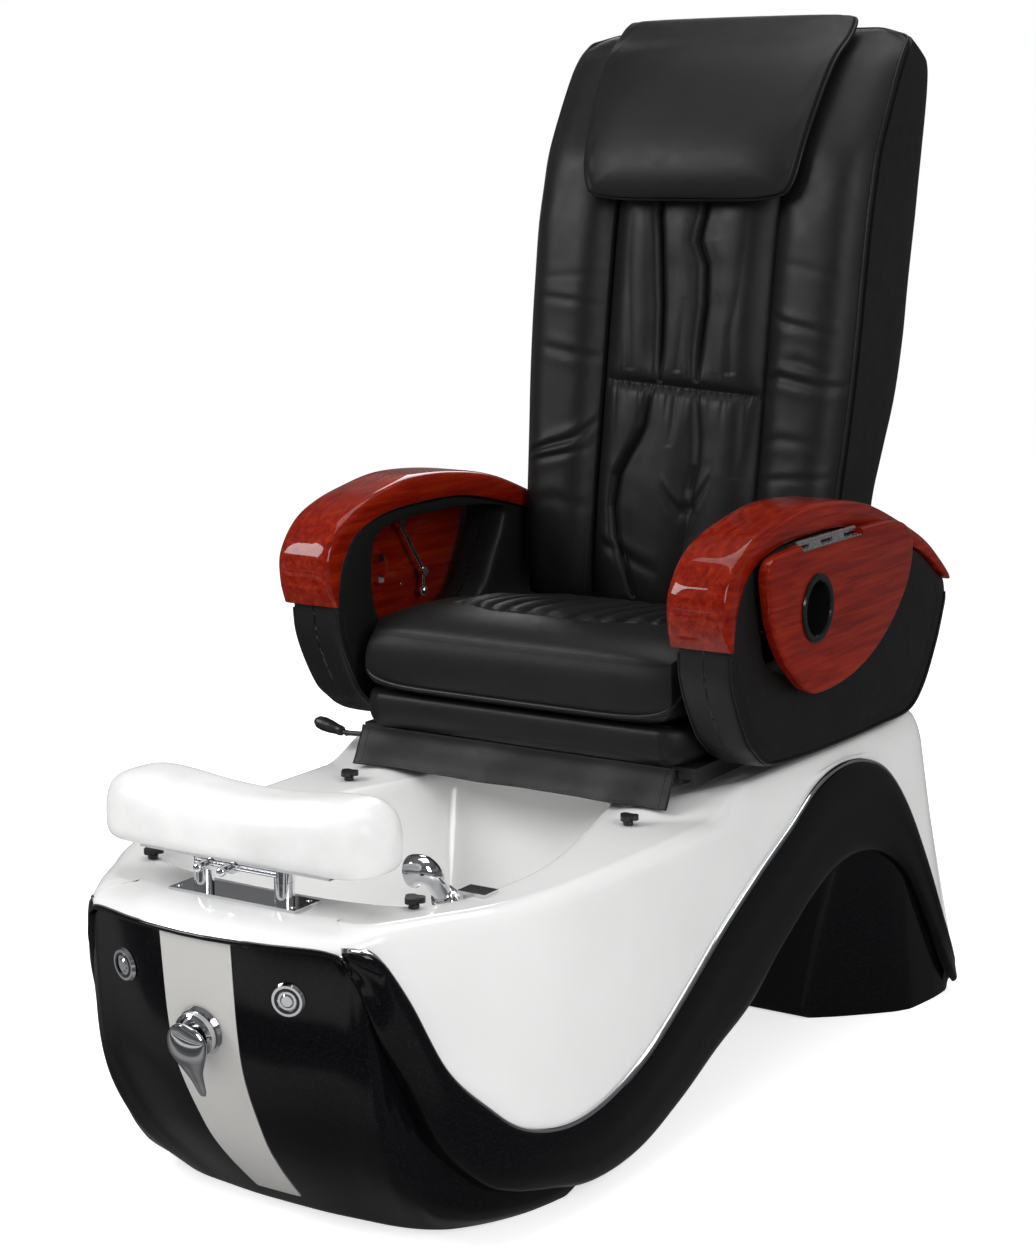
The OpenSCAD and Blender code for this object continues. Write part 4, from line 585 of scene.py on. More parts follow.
def hull_at(u, z):
    z = np.broadcast_to(np.asarray(z, float), u.shape)
    seam_z, edge, b, foot = spl(wave_rows, u)[..., 2], edge_z(u), under(u), spl(foot_rows, u)
    q = wall(u, z, 0)[..., :2]
    down = np.clip((edge - z) / np.maximum(1, edge - b), 0, 1)
    step = hull_step(u) * np.minimum(1, (seam_z - z) / np.maximum(1, seam_z - ledge_z(u)))
    p = lerp(lerp(q, foot, 0.015), xyz(q[..., 0] - step, q[..., 1]), round_corner(u)[..., None])
    p = lerp(p, foot, np.where(z >= edge, 0, np.interp(down, belly_down, belly_in))[..., None])
    return xyz(p[..., 0], p[..., 1], z)


def hull_rings(u, count=44):
    top_z = spl(wave_rows, u)[:, 2] - 1
    edge, b = edge_z(u), under(u)
    q = wall(u, top_z, 0)
    top = xyz(q[:, 0] - lerp(1.5, 0.85 * hull_step(u), round_corner(u)), q[:, 1], top_z)
    rings = [top, hull_at(u, np.where(u < CORNER, lerp(top_z, edge, 0.6) - 2, ledge_z(u)))]
    knots = [0, 0.155, 0.3, 0.43, 0.55, 0.67, 0.78, 0.88, 0.95, 1]
    for t in np.interp(np.linspace(0, 1, count), np.linspace(0, 1, len(knots)), knots):
        rings.append(hull_at(u, lerp(edge - 3, b, t)))
    return np.array(rings)


hull_u = np.unique(np.r_[np.linspace(0, 2.15, 60), np.linspace(CORNER, 4.2, 50), np.linspace(4.3, 16, 140)])
rings = hull_rings(hull_u)
rings[2:] = blur(rings[2:], 0, 6)
loft("front_hull_skin", to_m(mirrored(rings)), BLACK, "base", ("front_hull",), caps="strip")

# rolled black lip along the front of the deck, and above it a thin chrome thread: its bright line is a painted
# highlight that stands in for the light caught on the lip's rounded edge
lip_u = np.linspace(0, 2.45, 80)
for nm, out, up, radius, mat in (("lip", -0.6, -2.2, 0.0034, BLACK), ("line", 0.2, 1.6, 0.0011, CHROME)):
    q = wall(lip_u, spl(wave_rows, lip_u)[:, 2] - 1 + up, out)
    tube("front_" + nm, resample(to_m(np.concatenate([q[::-1] * MIRROR, q])), 200), radius, mat, "base", sides=12)

# silver stripe down the toe: the hull's own surface, 2 mm thicker
rows = blur(hull_rings(np.linspace(0, 0.5, 9))[1:40], 0, 6)
full = np.concatenate([rows[:, ::-1] * MIRROR, rows[:, 1:]], 1)
out = unit(np.cross(np.gradient(full, axis=1), np.gradient(full, axis=0)))
out *= np.where(out[..., 1:2] > 0, -1, 1)
face, back, edge = full + out * 1.9, full + out * 0.2, full + out * 1.5
bevel = np.array([0.3, 0, 0])
ring = np.concatenate([edge[:, :1] - bevel, face[:, 1:-1], edge[:, -1:] + bevel, back[:, ::-1]], 1)
loft("front_stripe_skin", to_m(ring), SILVER, "base", ("front_stripe",), angle=40)


# ---------------------------------------------------------------- wave bands and their chrome line
band_u = np.linspace(2.4, 22.9, 330)
upper, lower, seam, tuck = spl(wave_rows, band_u).T
start = 5 * (1 - smooth((band_u - 2.4) / 0.45))        # the first rows sink into the hull
proud = lerp(1.2, BAND_PROUD * np.minimum(1, (upper - TRIM_HALF - lower) / 24), smooth((band_u - 2.3) / 2.2)) - start
tuck = tuck * smooth((band_u - 2.3) / 1.2)
t, h = upper - TRIM_HALF, upper - TRIM_HALF - lower
e = np.minimum(14, h * 0.4)


def across(k, out):
    """Line along the band, k of the way up it."""
    return wall(band_u, lower + k * h, out)


rear = [wall(band_u, t, 0.7), wall(band_u, np.maximum(np.minimum(seam - 1, t - 2), lower + e + 1), 0.7),
        wall(band_u, lower + e, -tuck - 2)]
front = [wall(band_u, lower, -tuck - 2), wall(band_u, lower - 0.3, 2.5 - tuck), wall(band_u, lower + 1.5, 7 - tuck)]
front += [across(k, lerp(proud - tuck, proud, out)) for k, out in ((0.1, 0.36), (0.2, 0.57), (0.34, 0.79))]
front += [across(0.52, proud * 0.96 - tuck * 0.07), across(0.72, proud + 1.2), across(0.88, proud + 0.6),
          wall(band_u, t - 1.2, proud - 0.8), wall(band_u, t, proud - 3)]
band = np.concatenate([rear, chaikin(front)])

low, top = upper - TRIM_HALF + 0.4, upper + TRIM_HALF
proud = lerp(1.2, BAND_PROUD * np.minimum(1, (upper - lower) / 24), smooth((band_u - 2.3) / 2.2))
proud = np.maximum(4.4, proud) - start
trim = np.concatenate([[wall(band_u, top, 0.7), wall(band_u, low, 0.7)], chaikin([
    wall(band_u, low, proud - 3), wall(band_u, lerp(low, top, 0.3), proud - 2.1),
    wall(band_u, lerp(low, top, 0.7), proud - 2.9), wall(band_u, top, proud - 5.5)])])
for side, nm in SIDES:
    for piece, ring, mat, angle in (("side_band_", band, BLACK, 60), ("trim_", trim, CHROME, 50)):
        loft(piece + nm + "_skin", np.moveaxis(to_m(on_side(ring, side)), 0, 1), mat, "base", (piece + nm,),
             angle=angle)

# ---------------------------------------------------------------- rear pedestal
# its foot, two stations to a row of the wave: x, y, z
ped_floor = np.array([
    [324, 240, 273], [328, 285, 268], [318, 336, 246], [285, 380, 120], [248, 423, 0], [298, 466, 0],
    [341, 510, 0], [366, 538, 0], [380, 562, 0], [385, 590, 0], [388, 612, 0], [391, 636, 0],
    [392, 660, 0], [392, 680, 0], [388, 696, 0], [380, 706, 0], [366, 714, 0], [280, 718, 0],
    [160, 720.5, 0], [80, 721, 0], [20, 721.5, 0]], float)
k = np.linspace(0, 20, 161)
seam = spl(wave_rows, 16 + k / 2)[:, 2] - 1
q = wall(16 + k / 2, seam, 0)
foot = np.stack([np.interp(k, range(21), c) for c in ped_floor.T], -1)
inset = np.where(k < 13.5, 6.0, 1.5)
levels = [xyz(lerp(q[:, 0] - inset, foot[:, 0], t ** 0.8), lerp(q[:, 1], foot[:, 1], t ** 0.8),
              lerp(seam, foot[:, 2], t)) for t in np.linspace(0, 1, 26)]
loft("rear_pedestal_skin", to_m(mirrored(blur(np.array(levels), 1, 4))), BLACK, "base", ("rear_pedestal",),
     caps="strip", angle=70)


# ---------------------------------------------------------------- folds in padding
def crease(u, s, path, amp, w):
    """Sharp fold across a panel, along (u, s, strength) points; positive is outward."""
    p = np.array(path, float)
    q = (s - np.interp(u, p[:, 0], p[:, 1])) / w
    a = np.interp(u, p[:, 0], p[:, 2], left=0, right=0)
    return amp * a * (-bell(q) + 0.62 * bell((q - 2.0) / 1.5) + 0.5 * bell((q + 2.3) / 1.7))


def furrow(u, s, path, amp, w):
    """Sharp fold along a panel: (s, u, strength) points, s rising."""
    p = np.array(sorted(path), float)
    q = (u - np.interp(s, p[:, 0], p[:, 1])) / w
    a = np.interp(s, p[:, 0], p[:, 2], left=0, right=0)
    return amp * a * (-bell(q, 1.6) + 0.14 * bell((q - 2.4) / 1.9) + 0.14 * bell((q + 2.4) / 1.9))


def columns(u, s, fold_a, fold_b, power=2.4):
    """Rounded columns between two folds and the panel's sides, 0 at a fold and 1 between."""
    a, b = (np.interp(s, *np.array(sorted(f))[:, :2].T) for f in (fold_a, fold_b))
    lo = np.where(u < a, -1.02, np.where(u < b, a, b))
    hi = np.where(u < a, a, np.where(u < b, b, 1.02))
    return 1 - np.abs((u - lo) / np.maximum(hi - lo, 1e-3) * 2 - 1) ** power


# ---------------------------------------------------------------- the back
# stations up the back: y, z of the cushions' plane, y, z of the shell's rear, half width
spine = np.array([
    [436, 640, 588, 636, 266], [446, 740, 602, 738, 274], [457, 838, 615, 822, 278],
    [467, 905, 640, 892, 282], [479, 996, 672, 978, 287], [491, 1087, 692, 1064, 290],
    [501, 1160, 704, 1146, 291], [513, 1240, 718, 1232, 292], [528, 1300, 730, 1300, 292],
    [545, 1358, 740, 1356, 292], [580, 1424, 748, 1412, 292], [619, 1488, 752, 1452, 291],
    [648, 1522, 754, 1480, 289], [674, 1552, 752, 1504, 284]], float)
LAST, COVER, CENTRE_W = 13, 20.0, 292.0                # last station, depth of the seats' base, panel


def half_width(s):
    return spl(spine, s)[..., 4]


def back_pt(x, d, s):
    """Point at x, d behind the cushions' plane, at station s."""
    x, d, s = np.broadcast_arrays(np.asarray(x, float), np.asarray(d, float), np.asarray(s, float))
    r = spl(spine, s)
    q = r[..., :2] + unit(r[..., 2:4] - r[..., :2]) * d[..., None]
    return to_m(xyz(x, q[..., 0], q[..., 1]))


# upholstered shell behind the cushions: section as shares of the half width and the depth
shell_section = [(-1, 0), (1, 0), (1.005, .35), (1.005, .8), (.985, .94), (.93, 1), (.6, 1.12), (.2, 1.2),
                 (-.2, 1.2), (-.6, 1.12), (-.93, 1), (-.985, .94), (-1.005, .8), (-1.005, .35)]
stations = np.r_[np.linspace(0, 0.25, 5), np.linspace(0.4, LAST - 0.6, 80),
                 LAST - 0.5 * (1 - np.sin(np.linspace(0, 1, 14) * np.pi / 2))]
rows = []
for s in np.unique(np.clip(stations, 0, LAST)):
    r = spl(spine, s)
    t = np.clip((LAST - s) / 0.5, 0, 1)
    round_top, low = np.sqrt(max(0.0, 1 - (1 - t) ** 2)), np.clip(s / 0.22, 0, 1)
    k = lerp(0.5, 1, round_top) * lerp(0.86, 1, low)
    w = r[4] - (lerp(40, 0, round_top) + lerp(15, 0, low))
    d = lerp(COVER, np.linalg.norm(r[2:4] - r[:2]), k)
    p = np.array([(w * a, d + (b - 1) * 210 * k if b > 1 else lerp(COVER, d, b)) for a, b in shell_section])
    p = np.concatenate([p[:2], chaikin(p[2:])])
    free = p[:, 1] > COVER + 4
    wobble = 1.1 * noise1(np.linspace(0, 9, len(p)) + s * 0.8, 11, 2)
    rows.append(back_pt(p[:, 0], p[:, 1] + (wobble - 0.6) * free, s))
loft("back_shell_skin", rows, LEATHER, "back", ("back_shell",), angle=60)

# side bolsters, with the folds that the photo shows on each: crease path, height, width
bolster_folds = {
    1: [([(-1, 5.3, .9), (-.5, 5.12, 1), (.1, 5.02, .7), (.8, 4.9, .1)], 2.4, .075),
        ([(-.9, 4.12, 1), (-.55, 4.2, 1), (-.1, 4.14, .8), (.4, 4.08, .9), (.97, 4.06, .8)], 4.2, .07),
        ([(-.6, 4.42, .2), (-.1, 4.45, .8), (.5, 4.3, .8), (.9, 4.22, .1)], 2.4, .08),
        ([(-1, 3.05, .7), (-.4, 3.18, .8), (.3, 3.14, .4), (.8, 3.1, .1)], 2.0, .08),
        ([(-1, 6.4, .5), (-.3, 6.3, .5), (.6, 6.15, .3)], 1.5, .09),
        ([(-.9, 2.2, .5), (0, 2.3, .6), (.9, 2.35, .6)], 1.9, .09),
        ([(-1, 1.2, .8), (-.2, 1.28, .7), (.9, 1.18, .6)], 2.2, .09)],
    -1: [([(-1, 3.3, .9), (-.5, 2.95, 1), (.1, 2.78, .9), (.6, 2.6, 1), (1, 2.35, 1)], 4.6, .075),
         ([(-.9, 2.72, .3), (-.2, 2.52, .9), (.5, 2.35, .8), (.95, 2.18, .3)], 2.6, .08),
         ([(-1, 4.38, .9), (-.4, 4.42, .9), (.2, 4.5, .5), (.7, 4.55, .1)], 2.6, .07),
         ([(-1, 5.35, .5), (-.3, 5.45, .7), (.6, 5.52, .5)], 1.7, .08),
         ([(-.9, 6.05, .4), (0, 6.0, .5), (.8, 5.95, .3)], 1.3, .08),
         ([(-1, 1.5, .6), (0, 1.62, .6), (.9, 1.5, .5)], 2.0, .09)]}
for side, nm in SIDES:
    u, v = grid(46, 230, 0.35)
    s = (v + 1) / 2 * (LAST - 0.1) + 0.05
    e = np.abs(u) ** 3.2
    flat = 1 - e
    d = lerp(lerp(-36, -12, smooth((v - 0.35) / 0.65)), np.where(u > 0, -2, -8), e) + 14 * np.abs(v) ** 14
    d -= flat * 1.5 * noise2(u * 1.3 + 5, s * 1.1, 21 + side, 2)
    for path, amp, w in bolster_folds[side]:
        d -= flat ** 0.6 * crease(u, s, path, amp, w)
    # the outer upper corner is rounded: the upper edge drops toward the side
    s = s - 0.42 * smooth((u - 0.2) / 0.8) ** 1.5 * smooth((v - 0.80) / 0.2)
    outer = half_width(s) - 1 - 10 * smooth((s - (LAST - 0.9)) / 0.9) ** 2
    x, x_low = (side * lerp(CENTRE_W / 2 + 1, outer - k, (u + 1) / 2) for k in (0, 2))
    top = back_pt(x, np.minimum(d, 4), s)
    slab("back_bolster_" + nm, top, [perimeter(back_pt(x, 8, s))], back_pt(x_low, COVER - 1.2, s), "back",
         ("back_bolsters",))
    # cord sewn along the outer edge and over the top corner
    cord = np.concatenate([top[2:, -1], top[-1, ::-1][1:40]]) + [0, 0.0015, 0]
    tube("back_cord_" + nm, blur(resample(cord, 240), 0, 4), 0.0024, PIPING, "back")
    # seam thread between the bolster and the gathered panel
    sp = np.linspace(0.2, 8.2, 150)
    stitches("back_seam_" + nm, back_pt(side * (CENTRE_W / 2 + 5.5), -12.5, sp), "back", 0.0075, 0.0045)

# gathered centre panel: two long folds above the waist thread and two below make three columns each
u, v = grid(190, 420)
s = (v + 1) / 2 * (LAST - 0.35) + 0.05


def waist_s(u):
    return 4.02 - 0.09 * (u + 1)


long_up = [[(4.02, -.25, .9), (4.5, -.254, 1), (5.45, -.28, 1), (6.75, -.35, 1), (7.35, -.404, 1), (9, -.42, .6)],
           [(4.05, .213, .9), (4.7, .223, 1), (5.45, .25, 1), (6.3, .22, 1), (6.75, .112, 1), (7.3, .149, 1),
            (9, .15, .6)]]
long_low = [[(.2, -.42, .6), (.5, -.49, .9), (1.1, -.66, 1), (1.55, -.718, 1), (2.1, -.68, 1),
             (2.65, -.566, 1), (3.25, -.407, 1), (3.85, -.34, 1), (3.95, -.34, 0)],
            [(1.55, .25, .5), (1.9, .235, 1), (2.5, .29, .8), (3.1, .28, .7), (3.85, .238, 1), (3.95, .238, 0)]]
furrows = [(long_up[0], 9, .030), (long_up[1], 8, .030), (long_low[0], 8, .034), (long_low[1], 5.5, .034),
           ([(4.2, -.62, .6), (5.0, -.66, .7), (6.2, -.72, .4), (7.4, -.74, .2)], 3.0, .06),
           ([(4.2, .62, .8), (4.9, .60, .6), (5.8, .66, .3), (7.5, .7, .2)], 3.2, .06),
           ([(4.2, -.02, .7), (4.7, .0, .5), (5.6, .03, .1)], 2.6, .05),
           ([(2.2, .78, .3), (3.0, .82, .8), (3.8, .8, 1), (3.9, .8, 0)], 4.5, .06),
           ([(2.9, -.05, .2), (3.4, -.02, .6), (3.86, -.02, .9), (3.92, -.02, 0)], 3.5, .045)]
creases = [([(-.12, 1.95, .1), (.0, 1.72, .7), (.12, 1.55, 1), (.26, 1.6, .9), (.4, 1.9, .5), (.5, 2.2, .1)], .10),
           ([(-.9, 1.0, .6), (-.5, .8, .8), (-.1, .62, .3)], .08)]
waist = waist_s(u)
up = smooth((s - waist) / 0.1)
col_up = columns(u, s, long_up[0][:1] + long_up[0][2:], long_up[1])
col_low = columns(u, s, long_low[0][:-2] + long_low[0][-1:], [(.2, .1, 0), (1.2, .22, 0)] + long_low[1][1:-1])
bulge = 12 * (1 - bell((s - waist) / 0.45)) * (up * (col_up - 0.72) + (1 - up) * 0.8 * (col_low - 0.72))
for path, amp, w in furrows:
    bulge += furrow(u, s, path, amp, w)
for path, w in creases:
    bulge += crease(u, s, path, 3.2, w)
# small puckers drawn up by the gathering thread
puck = np.zeros_like(u)
for k in range(22):
    c = -0.95 + 1.90 * (k + 0.5) / 22 + rng.uniform(-0.025, 0.025)
    reach_up = rng.uniform(0.05, 0.20) + (0.22 if k % 5 == 2 else 0)
    reach_low = rng.uniform(0.05, 0.22) + (0.3 if k % 4 == 1 else 0)
    lean, amp = rng.uniform(-0.08, 0.08), rng.uniform(1.2, 2.8)
    for sign, reach in ((1, reach_up), (-1, reach_low)):
        t = sign * (s - waist)
        q = (u - c - lean * t) / (0.018 + 0.03 * np.clip(t, 0, 1))
        puck += np.where(t > -0.02, -amp * bell(q) * np.exp(-np.clip(t, 0, 9) / reach), 0)
e, flat = np.abs(u) ** 6, 1 - np.abs(u) ** 10
near = bell((s - waist) / 0.10, 1.5)
d = -8 + 8 * e + 10 * np.abs(v) ** 12 - (1 - e) * 17 + 10 * near * (1 - e) + 14 * smooth((v - 0.6) / 0.4)
d -= flat * (bulge + puck * (1 - 0.3 * near)) + 1.3 * flat * noise2(u * 2 + 3, s * 1.3, 5, 2)
d = np.clip(d, -42, 6)
d = lerp(d, np.maximum(d, -14), smooth((s - 7.9) / 0.5))           # flatter where the pillow covers it
w = CENTRE_W / 2 - 1
slab("back_centre_panel", back_pt(u * w, d, s), [perimeter(back_pt(u * w, 12, s))],
     back_pt(u * (w - 1), COVER - 1.2, s), "back", ("back_centre",))
# gathering thread across the waist
tu = np.linspace(-0.965, 0.965, 240)
col = ((tu + 1) / 2 * (u.shape[1] - 1)).astype(int)
row = np.abs(s[:, col] - waist_s(tu)).argmin(0)
td = np.convolve(np.pad(d[row, col], 6, "edge"), np.ones(13) / 13, "valid")
stitches("back_waist_thread", back_pt(tu * w, td - 0.6, waist_s(tu)), "back", 0.0062, radius=0.0009)

# ---------------------------------------------------------------- head pillow
u, v = grid(110, 96, 0.45, 0.45)


def pillow_at(lift, q, extra=0.0):
    """The pillow's outline grown by q, at lift times its thickness off the cushions."""
    x = u * (lerp(188, 208, smooth((v + 1) / 1.6)) - 14 * np.abs(v) ** 8)
    rest, thick = lerp(-38, -13.5, smooth((v + 0.4) / 1.3)), lerp(46, 30, smooth((v + 0.2) / 1.2))
    return back_pt(x * q, rest - thick * lift + extra,
                   lerp(7.75, LAST + 0.5, (v * q * (1 - 0.07 * np.abs(u) ** 6) + 1) / 2))


e = np.maximum(np.abs(u) ** 4, np.abs(v) ** 5)
e = np.clip(0.5 * e + 0.5 * (1 - (1 - np.abs(u) ** 5) * (1 - np.abs(v) ** 6)), 0, 1)
dent = 1.4 * noise2(u * 1.6 + 9, v * 1.3, 31, 2) * (1 - e)
dent += 0.8 * bell((np.abs(u) - 0.93) / 0.03) * np.sin(v * 17 + 1)
slab("head_pillow_skin", pillow_at(lerp(1, 0.55, e), 0.985, -dent),
     [perimeter(pillow_at(k, q)) for k, q in ((0.40, 1.0), (0.28, 1.0), (0.06, 0.975))],
     pillow_at(0.0, 0.9), "back", ("head_pillow",), times=2)
loop = perimeter(pillow_at(0.34, 1.0))
loop = resample(np.vstack([loop, loop[:1]]), 261)[:-1]
loop = 0.25 * np.roll(loop, 1, 0) + 0.5 * loop + 0.25 * np.roll(loop, -1, 0)
tube("head_pillow_cord", loop, 0.0030, PIPING, "back", closed=True)

# ---------------------------------------------------------------- arms: padded rings, varnished caps
# the cap, front to rear: y, z of its top, y, z of its underside
cap_rows = np.array([
    [-84, 691, -76, 689], [-100, 725, -70, 718], [-101, 771, -60, 752], [-65, 815, -34, 787],
    [-13, 839, 14, 808], [57, 855, 66, 818], [146, 867, 146, 822], [265, 861, 262, 820],
    [374, 842, 368, 801], [491, 802, 482, 773], [583, 763, 575, 742], [655, 716, 650, 702],
    [683, 690, 682, 686]], float)
below_cap = [
    [692, 655], [683, 628], [660, 583], [612, 520], [553, 489], [440, 488], [331, 489], [220, 492],
    [113, 497], [47, 505], [10, 527], [-18, 551], [-50, 600], [-70, 645]]
window_rows = [
    [26, 716], [25, 735], [27, 755], [32, 775], [48, 790], [80, 797], [140, 802], [230, 802],
    [310, 800], [375, 793], [396, 782], [393, 764], [386, 748], [378, 733], [370, 718], [360, 700],
    [349, 681], [335, 662], [300, 640], [250, 629], [190, 625], [130, 627], [85, 636], [55, 650],
    [38, 666], [30, 682], [27, 699]]
under_cap = cap_rows[:, 2:] - [0, 0.4]
arm_rows = np.concatenate([under_cap, below_cap])
ARM_X, ARM_T, CAP_LAST = 285.0, 88.0, 12


def arm_pt(u, share, xs):
    """Point of the padding: place round the ring, share from the outline to the window, x share."""
    u, share, xs = np.broadcast_arrays(u, share, xs)
    o = np.where((u <= CAP_LAST)[..., None], spl(under_cap, np.minimum(u, CAP_LAST)), spl_closed(arm_rows, u))
    q = lerp(o, spl_closed(window_rows, u), share[..., None])
    return xyz(ARM_X + xs * ARM_T, q[..., 0], q[..., 1])


section = chaikin([(0, .08), (0, .92), (.06, .985), (.3, 1.02), (.7, 1.02), (.94, .97), (1, .9), (1, .1),
                   (.94, .02), (.5, 0), (.06, .02)], 2, closed=True)
section = resample(np.vstack([section, section[:1]]), 129)[:-1]
U, S = np.meshgrid(np.linspace(0, 27, 325)[:-1], section[:, 0], indexing="ij")
X = np.broadcast_to(section[:, 1], U.shape)
face = np.maximum(smooth((X - 0.8) / 0.12), smooth((0.2 - X) / 0.12))
soft_part = smooth((U - 12.6) / 0.8) * smooth((26.8 - U) / 0.5)
swell = 1.2 * smooth(S / 0.15) * smooth((1 - S) / 0.25) * face
seam = bell((S - 0.15) / 0.018) * soft_part * face
ripple = 1.1 * noise2(U * 0.7 + 3, S * 2.2, 41, 2) * face * soft_part
dent = np.minimum((swell - 2.4 * seam + ripple - 1.6) / ARM_T, 0.0)
pad = arm_pt(U, S, X + np.where(X > 0.5, dent, -dent))
cord_u = np.linspace(12.75, 26.75, 260)
cords = [(tag, arm_pt(cord_u, 0.045, xs)) for xs, tag in ((0.962, "outer"), (0.038, "inner"))]
for side, nm in SIDES:
    loft("arm_pad_" + nm, to_m(on_side(pad, side)), LEATHER, "seat", ("arm_body_" + nm,), loop=True)
    # corded seam along the front, underside and rear of the pad
    for tag, c in cords:
        tube("arm_cord_%s_%s" % (nm, tag), to_m(on_side(c, side)), 0.0020, PIPING, "seat", sides=8)

# section of the cap: share from its underside to its top, and x from the arm's inner face
cap_section = chaikin([(0, 0), (.12, -3.5), (.7, -4), (.93, 1), (1, 11), (1, 45), (1, 80), (.93, 89), (.7, 93),
                       (.12, 92.5), (0, 89), (0, 45)], 2, closed=True)
cap_u = np.r_[0, 0.012, 0.035, 0.07, np.linspace(0.12, 11.85, 150), 11.93, 11.98, 12]
r = spl(cap_rows, cap_u)[:, None]
q = lerp(r[..., 2:], r[..., :2], cap_section[:, :1])
cap = xyz(ARM_X + cap_section[:, 1], q[..., 0], q[..., 1])
# both ends are drawn in a little, so that their edges catch the light
pull = np.interp(cap_u, [0, 0.012, 0.035, 0.07, 11.6, 11.93, 11.98, 12], [0.90, 0.95, 0.985, 1, 1, 0.97, 0.95, 0.9])
cap = lerp(cap.mean(1, keepdims=True), cap, pull[:, None, None])
for side, nm in SIDES:
    loft("arm_cap_%s_wood" % nm, to_m(on_side(cap, side)), WOOD, "seat", ("arm_cap_" + nm,), angle=50)

# ---------------------------------------------------------------- trays
tray_rows = np.array([
    [-22, 797], [-12, 808], [12, 814], [50, 817], [112, 820], [222, 820], [330, 819], [392, 817],
    [432, 810], [463, 793], [473, 768], [466, 735], [449, 706], [420, 678], [388, 654], [350, 633],
    [314, 619], [270, 607], [226, 600], [180, 597], [140, 598], [110, 607], [86, 622], [62, 640],
    [37, 660], [12, 690], [-6, 722], [-16, 752], [-23, 780]], float)
TRAY_X, TRAY_T = 384.0 * KX, 17.0
tray_edge = [(0.0, 1.6), (0.5, 0.6), (1.6, 0.0), (12.5, 0.0), (14.6, 0.5), (16.0, 1.7), (16.8, 3.4), (17.0, 5.2)]
# in metres: the hinge's notch (y, y, z, z) and the cup's bore (y, z, radius)
notch = [(84 * KY + DY - 3) / 1000, (280 * KY + DY + 3) / 1000, 810 * KZ / 1000, 0.86]
bore = [(132 * KY + DY) / 1000, 724 * KZ / 1000, 0.042]


def cutter_box(x0, x1, y0, y1, z0, z1):
    v = [(x, y, z) for x in (x0, x1) for y in (y0, y1) for z in (z0, z1)]
    f = [(0, 1, 3, 2), (4, 6, 7, 5), (0, 4, 5, 1), (2, 3, 7, 6), (0, 2, 6, 4), (1, 5, 7, 3)]
    return make("cut_box", v, f, WOOD, None)


def cutter_round(x0, x1, y, z, r):
    w = circle(96)
    return loft("cut_round", [xyz(x, y + r * np.cos(w), z + r * np.sin(w)) for x in (x0, x1)], WOOD, None)


def cut(o, cutters):
    """Takes the cutters out of o and removes them."""
    for c in cutters:
        m = o.modifiers.new("cut", "BOOLEAN")
        m.operation = "DIFFERENCE"
        m.solver = "EXACT"
        m.object = c
    dg = bpy.context.evaluated_depsgraph_get()
    dg.update()
    me, old = bpy.data.meshes.new_from_object(o.evaluated_get(dg)), o.data
    o.modifiers.clear()
    o.data = me
    bpy.data.meshes.remove(old)
    for c in cutters:
        bpy.data.objects.remove(c)
    me.shade_smooth()
    me.set_sharp_from_angle(angle=math.radians(40))


outline = spl_closed(tray_rows, np.linspace(0, len(tray_rows), 241)[:-1]) * [KY, KZ] + [DY, 0]
ahead = unit(np.roll(outline, -1, 0) - np.roll(outline, 1, 0))
outward = np.stack([ahead[:, 1], -ahead[:, 0]], -1)
outward *= np.sign(((outline - outline.mean(0)) * outward).sum())
for side, nm in SIDES:
    rings = [xyz(side * (TRAY_X + x), *(outline - outward * inset).T) / 1000 for x, inset in tray_edge]
    o = loft("tray_%s_wood" % nm, rings, WOOD, "tray_" + nm, angle=40)
    span = sorted(side * (TRAY_X + x) / 1000 for x in (-2, TRAY_T + 2))
    cut(o, [cutter_box(*span, *notch)] + ([cutter_round(*span, *bore)] if side > 0 else []))
    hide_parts("tray_" + nm)

# ---------------------------------------------------------------- seat cushion
SEAT_W, SEAT_MID, SEAT_HALF = 552.0, 172.0, 220.0


def seat_at(u, v, in_x, in_y, k, z):
    """Point of the cushion: its plan drawn in from the sides, with corners rounded by k."""
    x = (SEAT_W / 2 - in_x) * u * (1 - k * np.abs(v) ** 6)
    y = SEAT_MID + (SEAT_HALF - in_y) * v * (1 - k * np.abs(u) ** 6)
    return to_m(xyz(x, y, z))


u, v = grid(200, 170, 0.45, 0.45)
front_round = 1 - np.sqrt(np.clip(1 - np.clip((-0.52 - v) / 0.48, 0, 1) ** 2.4, 0, 1))
e = np.abs(u) ** 6 * 0.5 * (1 - front_round) + np.where(v < 0, front_round * 0.92, np.abs(v) ** 8 * 0.4)
# gathered insert behind the front roll: its front edge bows forward in the middle
edge_v = -0.58 + 0.16 * smooth((np.abs(u) - 0.30) / 0.34)
inset = smooth((v - edge_v) / 0.04) * smooth((0.64 - np.abs(u)) / 0.03)
front_seam = bell((v - edge_v) / 0.016) * smooth((0.66 - np.abs(u)) / 0.03)
side_seam = bell((np.abs(u) - 0.64) / 0.012) * smooth((v - edge_v + 0.02) / 0.05)
phase = u * 23 + 1.3 * noise1(u * 4 + 7, 51, 2) + 1.1 * noise2(u * 3 + 1, v * 2.2, 52, 2) + 0.7 * v
pleat = 1 - np.abs(np.sin(phase)) ** 0.5
pleat *= 15.0 * (1 - 0.35 * smooth((v + 0.1) / 0.9)) * (0.8 + 0.35 * noise1(phase / np.pi * 0.9, 53, 1))
gather = 1.3 * np.sin(u * 150 + 2 * noise1(u * 20, 54, 2)) * np.exp(-np.clip(v - edge_v, 0, 9) / 0.05)
z = PLATFORM + 212 - 26 * smooth((v + 0.3) / 1.3) - 42 * e
z -= (5.0 * front_seam + 4.0 * side_seam) * (1 - e)
z += inset * (4.5 * smooth((v - edge_v) / 0.12) - pleat + gather)
z += (1 - e) * (1 - inset) * 1.6 * noise2(u * 1.5 + 4, v * 1.4 + 2, 55, 2)
